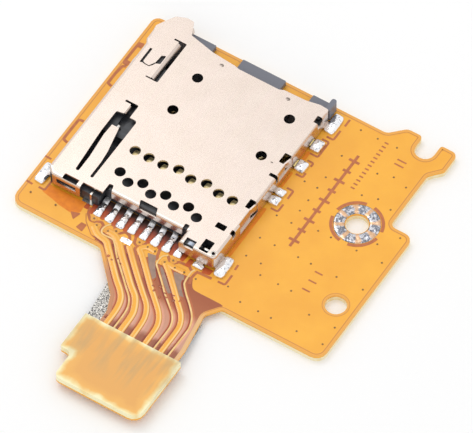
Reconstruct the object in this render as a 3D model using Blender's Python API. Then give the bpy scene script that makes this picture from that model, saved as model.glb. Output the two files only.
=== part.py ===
"""Push-push card socket on a flexible circuit board with a short plug tail.

Lengths are in metres. X runs along the board, Y towards the card entry and Z up.
All places are measured from the board's top face and the shell's front left corner region,
and an empty then carries the whole part so that its base is centred on the origin.
"""
import math

import bmesh
import bpy
from mathutils import Matrix, Vector

mm = 0.001

# Fits
seat = 0.01 * mm               # gap between faces that lie on each other
running = 0.02 * mm            # gap under and beside the slider
pin_play = 0.03 * mm           # gap round the cam pin in its hole
groove_play = 0.07 * mm        # gap beside the cam pin's tip in its groove

# Card that the socket takes
card_width = 11.0 * mm
card_shoulder = 1.30 * mm      # the card is this much narrower at its contact end
card_bottom = 0.50 * mm        # height of the card's underside above the board
card_play = 0.05 * mm          # rails and lips stay this far under the card
card_gap = 0.30 * mm           # room between the card and the shell's right wall
mechanism_width = 1.80 * mm    # room between the shell's left wall and the card

# Flexible circuit and its stiffener
flex_thickness = 0.15 * mm
stiffener_thickness = 0.35 * mm
margin_left = 1.20 * mm        # board beyond the shell on each side
margin_right = 9.75 * mm
margin_front = 2.35 * mm
margin_back = 1.30 * mm
corner_radius = 0.80 * mm
back_corner = 0.55 * mm
screw_inset = 3.75 * mm        # screw hole to the board's right edge
screw_up = 10.65 * mm          # and to its front edge
screw_hole_radius = 0.80 * mm
screw_land_radius = 1.60 * mm
land_gap = 0.05 * mm           # the tinned land stays this far outside the hole
land_thickness = 0.04 * mm
peg_inset = 1.50 * mm
peg_up = 4.35 * mm
peg_hole_radius = 0.75 * mm
notch_depth = 1.85 * mm        # the board's right side steps in by this much
notch_drop = 2.60 * mm         # the hook's top to the step's back end
notch_length = 4.80 * mm
hook_inset = 3.07 * mm         # middle of the hook's throat to the board's right edge
hook_throat = 1.45 * mm
hook_depth = 1.60 * mm
hook_rise = 1.05 * mm          # the hook stands this far past the board's back edge
hook_shoulder = 1.88 * mm      # throat's middle to the shoulder's top
hook_nose = 1.05 * mm          # the nose's outer side to the board's right edge
hook_slope = 0.90 * mm

# Tail and its stiffened end, from the board's left and front edges
tail_start = 10.35 * mm
tail_width = 6.10 * mm
root_left = 3.25 * mm          # the tail's root is this much wider on the left
root_right = 0.25 * mm
neck_length = 4.20 * mm        # board's edge to the straight part of the tail
tail_length = 5.36 * mm        # board's edge to the stiffened end
tail_lift = 0.15 * mm          # the stiffened end lies this much higher than the board
lift_inset = 0.90 * mm         # the rise starts this far from the board
lift_outset = 0.46 * mm        # and ends this far from the stiffened end
end_left_ear = 0.92 * mm       # the end stands out beside the tail by this much
end_right_ear = 0.43 * mm
end_length = 5.30 * mm
end_thickness = 0.45 * mm
bite_width = 0.90 * mm
bite_height = 2.20 * mm
end_corner = 0.80 * mm
cloth_thickness = 0.06 * mm
cloth_lead = 1.60 * mm         # board's edge to the cloth's top
cloth_ear = 1.35 * mm          # the cloth's top corner stands out beside the tail
cloth_overlap = 0.35 * mm      # the cloth reaches this far under the stiffened end

# Plug under the tail's end
plug_length = 5.40 * mm
plug_width = 2.20 * mm
plug_wall = 0.40 * mm
plug_floor = 0.12 * mm
plug_pitch = 0.80 * mm
plug_ways = 5
plug_strip = 0.08 * mm         # thickness of the plug's contact strips
plug_strip_width = 0.30 * mm
plug_foot = 0.35 * mm

# Shell
sheet = 0.15 * mm
shell_left = -0.30 * mm
shell_height = 1.40 * mm
front_left_y = 0.52 * mm
front_open_y = 1.00 * mm
front_mid_y = 1.35 * mm
front_right_y = 0.35 * mm
corner_cut = 0.48 * mm         # the front left corner is cut off and its walls stay apart
left_lobe_width = 2.70 * mm
entry_margin = 1.14 * mm       # slider's back end to the shell's back edge
ear_width = 2.00 * mm
ear_reach = 1.42 * mm
flare = 0.18 * mm              # the left wall flares out beside the ear
flare_length = 1.75 * mm
bend_radius = 0.20 * mm
wall_gap = 0.10 * mm           # the side walls stop this far above the board
mid_wall_bottom = 0.62 * mm
lobe_wall_bottom = 0.26 * mm
foot_reach = 0.70 * mm
foot_drop = 0.03 * mm          # the solder under a foot has this thickness
hidden_reach = 0.42 * mm       # the back left foot is shorter
spring_strip = 0.12 * mm       # thickness of the tongues lanced in the right wall
bar_window_left = 1.35 * mm    # window of the right front lobe, from the shell's right side
bar_window_right = 0.65 * mm
bar_window_length = 1.13 * mm
edge_window_left = 2.45 * mm
edge_window_right = 1.70 * mm
front_foot_left = 1.40 * mm
front_foot_right = 0.85 * mm

# Housing
floor_height = 0.30 * mm
housing_gap = 0.04 * mm        # housing to shell, at the sides
cover_play = 0.05 * mm         # housing and slider to the cover's underside
block_drop = 0.05 * mm         # the front left block stays this far under the cam pin
block_depth = 0.80 * mm
front_wall = 0.20 * mm
entry_gap = 0.15 * mm          # the floor reaches this far past the shell
lip_reach = 0.95 * mm
lip_inset = 0.60 * mm
lip_shares = ((0.131, 0.278), (0.442, 0.703), (0.869, 0.975))   # of the housing's width
lip_corner = 0.05 * mm
rail_width = 0.30 * mm
beam_window = 0.56 * mm
bridge_length = 2.30 * mm      # the bridge over the beams' roots, from the card stop
bridge_drop = 0.03 * mm        # its top stays this far under the rails

# Contacts
ways = 8
contact_inset = 2.270 * mm     # card's left edge to the first contact
last_inset = 1.065 * mm        # last contact to the card's right edge
contact_depth = 3.30 * mm      # card stop to the contact points
strip = 0.12 * mm              # thickness of the contact strip
contact_width = 0.44 * mm
tail_shift = 0.13 * mm         # first tail to the first contact point
tail_inset = 2.30 * mm         # last tail to the card's right edge
tail_reach = 1.20 * mm         # the tails stand out in front of the middle wall
contact_lift = 0.24 * mm       # free contact point above the card's underside
supply_ways = (3, 5)           # the two supply contacts, counted from 0, touch first
supply_lead = 0.25 * mm
solder_height = 0.14 * mm
solder_margin = 0.09 * mm
tab_width = 0.13 * mm          # ground tab on the front block
tab_strip = 0.06 * mm
tab_inset = 0.56 * mm          # ground tab to the front block's right end
tab_bar_left = 0.61 * mm       # its foot spreads to both sides by these
tab_bar_right = 0.22 * mm

# Slider, cam pin and spring
travel = 4.00 * mm
lock_travel = 3.40 * mm
end_play = 0.10 * mm           # slider to the front block at full travel
wire = 0.26 * mm
anchor_inset = 2.20 * mm       # cam pin's pivot to the shell's inside
tip_shift = 0.25 * mm          # the tip rests this far left of the pivot
tip_inset = 0.70 * mm          # tip to the slider's front end
ramp_shift = 0.40 * mm         # the insertion leg leads the tip this far to the left
return_leg = 0.62 * mm         # return leg to the rest position of the tip
groove_depth = 0.33 * mm
deck_gap = 0.03 * mm
shoulder_inset = 1.70 * mm     # slider's shoulder to the end of its groove
shoulder_gap = 0.15 * mm       # slider to the narrow end of the card
hook_length = 1.60 * mm
spring_play = 0.045 * mm       # spring to the floor and to the cover's underside
spring_side = 0.05 * mm        # spring to the housing's left side
spring_wire = 0.12 * mm
spring_turns = 12
spring_length = 6.50 * mm
spigot_play = 0.11 * mm        # spring's inside to the spigots
spigot_length = 0.45 * mm

# Card-detect switch
switch_inset = 0.35 * mm       # arm's middle to the card's right edge
blade_inset = 2.15 * mm        # blade's leg to the shell's back edge
switch_pitch = 2.00 * mm       # blade's leg to the fixed leg
blade_tip = 0.70 * mm          # the blade's tip reaches this far past the fixed leg
leg_width = 0.60 * mm
blade_lift = 0.12 * mm         # free blade above the card's underside

# Across: places that follow from the sizes above
card_left = shell_left + sheet + mechanism_width
card_right = card_left + card_width
shell_right = card_right + card_gap + sheet
bay_left = shell_left + sheet + housing_gap
bay_right = shell_right - sheet - housing_gap
shell_inner = shell_height - sheet
spring_outer = shell_inner - floor_height - 2 * spring_play
spigot_radius = spring_outer / 2 - spring_wire - spigot_play
sight_first_x = card_left + contact_inset
contact_pitch = (card_width - contact_inset - last_inset) / (ways - 1)
hole_radius = 0.352 * contact_pitch
tail_first_x = sight_first_x + tail_shift
tail_last_x = card_right - tail_inset
tail_pitch = (tail_last_x - tail_first_x) / (ways - 1)
mid_start = tail_first_x
left_lobe_end = shell_left + left_lobe_width
right_lobe_start = tail_last_x - 0.05 * mm
spring_x = bay_left + spring_side + spring_outer / 2
deck_left = spring_x + spring_outer / 2 + 2 * spring_side
deck_right = card_left + card_shoulder - shoulder_gap
pin_anchor_x = shell_left + sheet + anchor_inset
tip_x = pin_anchor_x - tip_shift
switch_x = card_right - switch_inset
board_left = shell_left - margin_left
board_right = shell_right + margin_right
screw_x = board_right - screw_inset
peg_x = board_right - peg_inset
hook_x = board_right - hook_inset
tail_left = board_left + tail_start
tail_right = tail_left + tail_width
end_left = tail_left - end_left_ear
end_right = tail_right + end_right_ear

# Along: front to back
block_front = front_left_y + sheet + housing_gap
block_back = block_front + block_depth
block_right = mid_start - 0.30 * mm
stop_y = front_mid_y + sheet + running + front_wall
sight_y = stop_y + contact_depth
bridge_y = stop_y + bridge_length
tail_tip_y = front_mid_y - tail_reach
slider_front = block_back + end_play + travel
tip_y = slider_front + tip_inset
pin_anchor_y = block_front + block_depth / 2
groove_end = tip_y + travel
shoulder_y = groove_end + shoulder_inset
slider_back = shoulder_y + hook_length
spring_seat = block_back + spring_length
shell_back = slider_back + entry_margin
entry_y = shell_back + entry_gap
blade_y = shell_back - blade_inset
fixed_y = blade_y - switch_pitch
board_front = front_right_y - margin_front
board_back = shell_back + margin_back
screw_y = board_front + screw_up
peg_y = board_front + peg_up
hook_top = board_back + hook_rise
notch_back = hook_top - notch_drop
notch_front = notch_back - notch_length
end_top = board_front - tail_length
end_bottom = end_top - end_length
lift_start = board_front - lift_inset
lift_end = end_top + lift_outset

# Up: heights above the board's top face
housing_top = shell_inner - cover_play
pin_z = shell_inner - seat - wire / 2
block_height = pin_z - wire / 2 - block_drop
deck_top = pin_z - wire / 2 - deck_gap
groove_floor = deck_top - groove_depth
groove_width = wire + 2 * groove_play
slider_bottom = floor_height + running
spring_z = (floor_height + shell_inner) / 2
rail_top = card_bottom - card_play
contact_crown = card_bottom + contact_lift
blade_crown = card_bottom + blade_lift
rail_z = floor_height - strip / 2 - 0.04 * mm
foot_z = seat + foot_drop + strip / 2
base_z = -flex_thickness - stiffener_thickness

centre_x = (board_left + max(board_right, end_right)) / 2
centre_y = (end_bottom + hook_top) / 2


def new_collection(name):
    collection = bpy.data.collections.new(name)
    bpy.context.scene.collection.children.link(collection)
    return collection


def make_finish(name, colour, metallic, roughness):
    """A Principled material for one kind of piece."""
    finish = bpy.data.materials.new(name)
    finish.use_nodes = True
    shader = finish.node_tree.nodes["Principled BSDF"]
    shader.inputs["Base Color"].default_value = (*colour, 1.0)
    shader.inputs["Metallic"].default_value = metallic
    shader.inputs["Roughness"].default_value = roughness
    finish.diffuse_color = (*colour, 1.0)
    return finish


def fillet(corners, closed=True, steps=4):
    """Replaces each (point, radius) corner by an arc that is tangent to both of its sides."""
    count = len(corners)
    points = []
    for index, (here, radius) in enumerate(corners):
        at_end = not closed and index in (0, count - 1)
        if radius <= 0.0 or at_end:
            points.append(here)
            continue
        before = corners[index - 1][0]
        after = corners[(index + 1) % count][0]
        back = before - here
        ahead = after - here
        half = back.angle(ahead) / 2
        reach = radius / math.tan(half)
        reach = min(reach, 0.48 * back.length, 0.48 * ahead.length)
        back.normalize()
        ahead.normalize()
        rounding = reach * math.tan(half)
        middle = here + (back + ahead).normalized() * (rounding / math.sin(half))
        first = here + back * reach - middle
        last = here + ahead * reach - middle
        sweep = math.pi - 2 * half
        for step in range(steps + 1):
            share = step / steps
            blend = (first * math.sin((1 - share) * sweep) + last * math.sin(share * sweep)) / math.sin(sweep)
            points.append(middle + blend)
    return points


def outline(corners, steps=4):
    """Outline points of (x, y, radius) corners."""
    return fillet([(Vector((x, y, 0.0)), radius) for x, y, radius in corners], True, steps)


def rectangle(left, right, front, back, radius=0.0, steps=3):
    corners = [(left, front, radius), (right, front, radius), (right, back, radius), (left, back, radius)]
    return outline(corners, steps)


def circle(x, y, radius, steps=20):
    turns = [2 * math.pi * step / steps for step in range(steps)]
    return [Vector((x + radius * math.cos(turn), y + radius * math.sin(turn), 0.0)) for turn in turns]


def curve_to_mesh(curve, size):
    """Reads a curve's filled surface as a welded mesh, scaled by size."""
    holder = bpy.data.objects.new("outline", curve)
    bpy.context.scene.collection.objects.link(holder)
    evaluated = holder.evaluated_get(bpy.context.evaluated_depsgraph_get())
    mesh = bpy.data.meshes.new_from_object(evaluated)
    bpy.data.objects.remove(holder)
    shape = bmesh.new()
    shape.from_mesh(mesh)
    bmesh.ops.remove_doubles(shape, verts=shape.verts, dist=0.0005)
    bmesh.ops.recalc_face_normals(shape, faces=shape.faces)
    bmesh.ops.scale(shape, vec=(size, size, size), verts=shape.verts)
    shape.to_mesh(mesh)
    shape.free()
    return mesh


def prism(loop, low, high, holes=()):
    """A flat outline with holes, given thickness from one height to another.

    The curve is drawn in millimetres, because Blender's fill is too coarse for outlines this small.
    """
    curve = bpy.data.curves.new("outline", "CURVE")
    curve.dimensions = "2D"
    curve.fill_mode = "BOTH"
    curve.extrude = (high - low) / 2 / mm
    for points in [loop, *holes]:
        spline = curve.splines.new("POLY")
        spline.points.add(len(points) - 1)
        for target, point in zip(spline.points, points):
            target.co = (point.x / mm, point.y / mm, 0.0, 1.0)
        spline.use_cyclic_u = True
    mesh = curve_to_mesh(curve, mm)
    mesh.transform(Matrix.Translation((0.0, 0.0, (low + high) / 2)))
    return mesh


def rod(points, radius, sides=2):
    """A round wire along a list of points, with closed ends."""
    curve = bpy.data.curves.new("wire", "CURVE")
    curve.dimensions = "3D"
    curve.bevel_depth = radius / mm
    curve.bevel_resolution = sides
    curve.use_fill_caps = True
    spline = curve.splines.new("POLY")
    spline.points.add(len(points) - 1)
    for target, point in zip(spline.points, points):
        target.co = (*(point / mm), 1.0)
    return curve_to_mesh(curve, mm)


def box(left, right, front, back, low, high):
    shape = bmesh.new()
    bmesh.ops.create_cube(shape, size=1.0)
    bmesh.ops.scale(shape, vec=(right - left, back - front, high - low), verts=shape.verts)
    middle = Vector((left + right, front + back, low + high)) / 2
    bmesh.ops.translate(shape, vec=middle, verts=shape.verts)
    mesh = bpy.data.meshes.new("box")
    shape.to_mesh(mesh)
    shape.free()
    return mesh


def drum(x, y, radius, low, high, sides=20):
    shape = bmesh.new()
    bmesh.ops.create_cone(
        shape, cap_ends=True, segments=sides, radius1=radius, radius2=radius, depth=high - low)
    bmesh.ops.translate(shape, vec=(x, y, (low + high) / 2), verts=shape.verts)
    mesh = bpy.data.meshes.new("drum")
    shape.to_mesh(mesh)
    shape.free()
    return mesh


def loft(rings):
    """A closed solid through rings of equally many points, with flat ends."""
    shape = bmesh.new()
    rows = [[shape.verts.new(point) for point in ring] for ring in rings]
    count = len(rows[0])
    for row, above in zip(rows, rows[1:]):
        for index in range(count):
            after = (index + 1) % count
            shape.faces.new((row[index], row[after], above[after], above[index]))
    shape.faces.new(rows[0][::-1])
    shape.faces.new(rows[-1])
    bmesh.ops.recalc_face_normals(shape, faces=shape.faces)
    mesh = bpy.data.meshes.new("loft")
    shape.to_mesh(mesh)
    shape.free()
    return mesh


def ribbon(path, width, thickness, across):
    """A bent metal strip along a path, with its width along the direction across."""
    rings = []
    for index, here in enumerate(path):
        before = path[max(index - 1, 0)]
        after = path[min(index + 1, len(path) - 1)]
        first = (here - before) if index else (after - here)
        second = (after - here) if index < len(path) - 1 else (here - before)
        upright_first = across.cross(first).normalized()
        upright_second = across.cross(second).normalized()
        upright = (upright_first + upright_second).normalized()
        stretch = 1 / max(0.5, upright.dot(upright_first))
        up = upright * (thickness / 2 * stretch)
        side = across * (width / 2)
        rings.append([here - side - up, here + side - up, here + side + up, here - side + up])
    return loft(rings)


def mound(left, right, front, back, low, high):
    """A solder joint: a rounded pad whose sides draw in towards a soft top."""
    levels = [(0.0, 0.0), (0.55, 0.03), (0.85, 0.09), (1.0, 0.19)]
    room = min(right - left, back - front)
    rings = []
    for rise, inset in levels:
        step = inset * room
        corner = 0.22 * room
        loop = rectangle(left + step, right - step, front + step, back - step, corner)
        rings.append([Vector((point.x, point.y, low + rise * (high - low))) for point in loop])
    return loft(rings)


def merged(meshes):
    """Several meshes as one, for cutters that lie apart."""
    shape = bmesh.new()
    for mesh in meshes:
        shape.from_mesh(mesh)
    mesh = bpy.data.meshes.new("group")
    shape.to_mesh(mesh)
    shape.free()
    return mesh


def add_part(name, mesh, finish, smooth=False):
    """Makes a named piece, carried by the part's origin."""
    piece = bpy.data.objects.new(name, mesh)
    mesh.name = name
    mesh.materials.clear()
    mesh.materials.append(finish)
    parts.objects.link(piece)
    piece.parent = origin
    if smooth:
        mesh.shade_smooth()
        mesh.set_sharp_from_angle(angle=math.radians(35))
    return piece


def combine(piece, operation, meshes):
    """Adds one exact Boolean for each mesh, with its shape kept as a hidden guide."""
    for number, mesh in enumerate(meshes, 1):
        label = f"{piece.name}_{operation.lower()}_{len(piece.modifiers) + 1}"
        guide = bpy.data.objects.new(label, mesh)
        guide.display_type = "WIRE"
        guide.hide_render = True
        guide.parent = origin
        guides.objects.link(guide)
        modifier = piece.modifiers.new(label, "BOOLEAN")
        modifier.operation = operation
        modifier.solver = "EXACT"
        modifier.object = guide


def tail_rise(y):
    """Height of the tail above the board: a smooth step between its two ends."""
    share = (lift_start - y) / (lift_start - lift_end)
    share = min(1.0, max(0.0, share))
    return tail_lift * share * share * (3 - 2 * share)


def bend_tail(mesh):
    """Slices a flat sheet across the tail and lifts it along the tail's smooth step."""
    shape = bmesh.new()
    shape.from_mesh(mesh)
    slices = 8
    weld = flex_thickness / 40
    for number in range(slices + 1):
        y = lift_start + (lift_end - lift_start) * number / slices
        everything = shape.verts[:] + shape.edges[:] + shape.faces[:]
        bmesh.ops.bisect_plane(
            shape, geom=everything, dist=weld, plane_co=(0.0, y, 0.0), plane_no=(0.0, 1.0, 0.0))
    bmesh.ops.remove_doubles(shape, verts=shape.verts, dist=weld)
    bmesh.ops.dissolve_degenerate(shape, edges=shape.edges, dist=weld / 4)
    bmesh.ops.triangulate(shape, faces=shape.faces)
    for vertex in shape.verts:
        vertex.co.z += tail_rise(vertex.co.y)
    shape.to_mesh(mesh)
    shape.free()
    return mesh


def right_side_corners():
    """The board's right side with its step and hook, front to back."""
    throat = hook_throat / 2
    step_x = board_right - notch_depth
    hook_bottom = hook_top - hook_depth
    nose_x = board_right - hook_nose
    start_x = hook_x - hook_shoulder
    return [
        (board_right, board_front, corner_radius),
        (board_right, notch_front, 0.60 * mm),
        (step_x, notch_front, 0.45 * mm),
        (step_x, notch_back, 0.50 * mm),
        (nose_x, notch_back + hook_slope, 0.30 * mm),
        (nose_x, hook_top, 0.40 * mm),
        (hook_x + throat, hook_top, 0.20 * mm),
        (hook_x + throat, hook_bottom, throat),
        (hook_x - throat, hook_bottom, throat),
        (hook_x - throat, hook_top, 0.25 * mm),
        (start_x, hook_top, 0.60 * mm),
        (start_x - hook_rise, board_back, 0.60 * mm),
    ]


def end_corners():
    """The stiffened end of the tail, from its top left corner round to its top right one."""
    bite_x = end_left + bite_width
    bite_y = end_bottom + bite_height
    return [
        (end_left, end_top, 0.05 * mm),
        (end_left, bite_y, 0.12 * mm),
        (bite_x, bite_y, 0.75 * mm),
        (bite_x, end_bottom, 0.40 * mm),
        (end_right, end_bottom, end_corner),
        (end_right, end_top, 0.05 * mm),
    ]


def board_outline(with_tail):
    left_side = [(board_left, board_back, back_corner), (board_left, board_front, corner_radius)]
    tail = []
    if with_tail:
        neck_y = board_front - neck_length
        tail = [
            (tail_left - root_left, board_front, 0.50 * mm),
            (tail_left - 0.17 * root_left, neck_y + 0.31 * neck_length, 0.90 * mm),
            (tail_left, neck_y, 0.80 * mm),
            (tail_left, end_top, 0.10 * mm),
            *end_corners(),
            (tail_right, end_top, 0.10 * mm),
            (tail_right, neck_y, 0.80 * mm),
            (tail_right - 0.50 * mm, neck_y + 0.76 * neck_length, 0.60 * mm),
            (tail_right + root_right, board_front, 0.30 * mm),
        ]
    return outline(left_side + tail + right_side_corners())


def board_holes():
    return [circle(screw_x, screw_y, screw_hole_radius, 28), circle(peg_x, peg_y, peg_hole_radius, 28)]


def build_board():
    flex = bend_tail(prism(board_outline(True), -flex_thickness, 0.0, board_holes()))
    add_part("flex_circuit", flex, amber)
    sheet_top = -flex_thickness - seat
    add_part("board_stiffener", prism(board_outline(False), base_z, sheet_top, board_holes()), cream)
    end_base = tail_lift + seat
    end_mesh = prism(outline(end_corners()), end_base, end_base + end_thickness)
    add_part("tail_stiffener", end_mesh, cream)
    cloth_top_z = -flex_thickness - seat
    cloth_corners = [
        (tail_left - cloth_ear, board_front - cloth_lead, 0.10 * mm),
        (end_left, end_top - cloth_overlap, 0.05 * mm),
        (tail_right, end_top - cloth_overlap, 0.05 * mm),
        (tail_right - 0.30 * mm, board_front - cloth_lead, 0.10 * mm),
    ]
    cloth = prism(outline(cloth_corners), cloth_top_z - cloth_thickness, cloth_top_z)
    add_part("ground_cloth", bend_tail(cloth), cloth_grey)
    land_hole = circle(screw_x, screw_y, screw_hole_radius + land_gap, 28)
    land = prism(circle(screw_x, screw_y, screw_land_radius, 28), seat, land_thickness, [land_hole])
    add_part("screw_land", land, tin)


def plug_strip_path(side, x):
    """A plug contact: a foot on the circuit, up the outer face, over the wall and down inside."""
    outer = plug_width / 2 - plug_strip / 2
    inner = plug_width / 2 - plug_wall + plug_strip / 2
    top = tail_lift - flex_thickness - seat
    low = base_z + plug_strip / 2
    middle_y = (end_top + end_bottom) / 2
    foot_level = top - plug_strip / 2
    places = [
        (outer + plug_foot, foot_level),
        (outer, foot_level),
        (outer, low),
        (inner, low),
        (inner, top - plug_floor - 0.02 * mm),
    ]
    return [Vector((x, middle_y + side * reach, level)) for reach, level in places]


def build_plug():
    """The plug lies under the tail's end, and its rim reaches down as low as the board does."""
    middle_x = (end_left + bite_width + end_right) / 2
    middle_y = (end_top + end_bottom) / 2
    top = tail_lift - flex_thickness - seat
    half_length = plug_length / 2
    half_width = plug_width / 2
    loop = rectangle(
        middle_x - half_length, middle_x + half_length,
        middle_y - half_width, middle_y + half_width, 0.2 * mm)
    body = add_part("plug_body", prism(loop, base_z, top), pale_plastic)
    bay = rectangle(
        middle_x - half_length + plug_wall, middle_x + half_length - plug_wall,
        middle_y - half_width + plug_wall, middle_y + half_width - plug_wall, 0.1 * mm)
    combine(body, "DIFFERENCE", [prism(bay, base_z - plug_floor, top - plug_floor)])
    across = Vector((1.0, 0.0, 0.0))
    grooves = []
    first_x = middle_x - plug_pitch * (plug_ways - 1) / 2
    for row, side in enumerate((-1, 1)):
        for way in range(plug_ways):
            path = plug_strip_path(side, first_x + way * plug_pitch)
            name = f"plug_contact_{row * plug_ways + way + 1}"
            add_part(name, ribbon(path, plug_strip_width, plug_strip, across), gilt)
            grooves.append(ribbon(path, plug_strip_width + 2 * seat, plug_strip + 2 * seat, across))
    combine(body, "DIFFERENCE", [merged(grooves)])


def sight_place(way):
    """Where a contact touches the card: the supply contacts lie further back."""
    lead = supply_lead if way in supply_ways else 0.0
    return sight_first_x + contact_pitch * way, sight_y + lead


def contact_path(way):
    """Foot on its pad, up into the floor, across to the contact line, and a spring arm to the card."""
    tail_x = tail_first_x + tail_pitch * way
    point_x, point_y = sight_place(way)
    places = [
        (tail_x, tail_tip_y, foot_z),
        (tail_x, tail_tip_y + 0.75 * tail_reach, foot_z),
        (tail_x, front_mid_y, rail_z),
        (tail_x, stop_y, rail_z),
        (point_x, stop_y + 0.95 * mm, rail_z),
        (point_x, bridge_y + 0.05 * mm, rail_z),
        (point_x, point_y - 0.35 * mm, contact_crown - 0.07 * mm),
        (point_x, point_y, contact_crown),
        (point_x, point_y + 0.45 * mm, contact_crown - 0.16 * mm),
    ]
    return [Vector(place) for place in places]


def switch_blade_meshes(extra):
    """The blade's leg comes in from the side, and its arm runs along the card's edge and crowns."""
    leg = [
        Vector((shell_right + foot_reach, blade_y, foot_z)),
        Vector((shell_right + 0.15 * mm, blade_y, foot_z)),
        Vector((shell_right - 0.10 * mm, blade_y, rail_z)),
        Vector((switch_x - 0.20 * mm, blade_y, rail_z)),
    ]
    arm = [
        Vector((switch_x, blade_y + leg_width / 2 - 0.05 * mm, rail_z)),
        Vector((switch_x, blade_y - leg_width / 2 - 0.10 * mm, rail_z)),
        Vector((switch_x, fixed_y - blade_tip + 0.50 * mm, blade_crown)),
        Vector((switch_x, fixed_y - blade_tip, blade_crown - 0.14 * mm)),
    ]
    leg_mesh = ribbon(leg, leg_width + 2 * extra, strip + 2 * extra, Vector((0.0, 1.0, 0.0)))
    arm_mesh = ribbon(arm, contact_width, strip * 0.9 + 2 * extra, Vector((1.0, 0.0, 0.0)))
    return leg_mesh, arm_mesh


def switch_fixed_mesh(extra):
    leg = [
        Vector((shell_right + foot_reach, fixed_y, foot_z)),
        Vector((shell_right + 0.15 * mm, fixed_y, foot_z)),
        Vector((shell_right - 0.10 * mm, fixed_y, rail_z)),
        Vector((switch_x - 0.30 * mm, fixed_y, rail_z)),
    ]
    return ribbon(leg, leg_width + 2 * extra, strip + 2 * extra, Vector((0.0, 1.0, 0.0)))


def build_contacts():
    across = Vector((1.0, 0.0, 0.0))
    for way in range(ways):
        mesh = ribbon(contact_path(way), contact_width, strip, across)
        add_part(f"contact_{way + 1}", mesh, gilt)
    leg, arm = switch_blade_meshes(0.0)
    blade = add_part("switch_blade", leg, gilt)
    combine(blade, "UNION", [arm])
    add_part("switch_fixed", switch_fixed_mesh(0.0), gilt)
    build_ground_tab()


def build_ground_tab():
    """A narrow strip over the front block's edge, with a cross bar as its foot."""
    tab_x = block_right - tab_inset
    level = block_height + seat + tab_strip / 2
    front = block_front - seat - tab_strip / 2
    low = foot_drop + seat
    path = [
        Vector((tab_x, block_front + 0.50 * mm, level)),
        Vector((tab_x, front, level)),
        Vector((tab_x, front, low + tab_strip / 2)),
    ]
    tab = add_part("ground_tab", ribbon(path, tab_width, tab_strip, Vector((1.0, 0.0, 0.0))), gilt)
    bar = box(
        tab_x - tab_bar_left, tab_x + tab_bar_right, front - 0.20 * mm, front + tab_strip / 3,
        low, low + tab_strip)
    combine(tab, "UNION", [bar])


def housing_outline():
    front = front_mid_y + sheet + running
    lobe_front = front_right_y + sheet + housing_gap
    lobe_left = right_lobe_start + sheet + housing_gap
    return outline([
        (bay_left, block_front, 0.15 * mm),
        (block_right, block_front, 0.10 * mm),
        (block_right, front, 0.0),
        (lobe_left, front, 0.0),
        (lobe_left, lobe_front, 0.10 * mm),
        (bay_right, lobe_front, 0.15 * mm),
        (bay_right, entry_y, 0.0),
        (bay_left, entry_y, 0.20 * mm),
    ])


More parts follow.
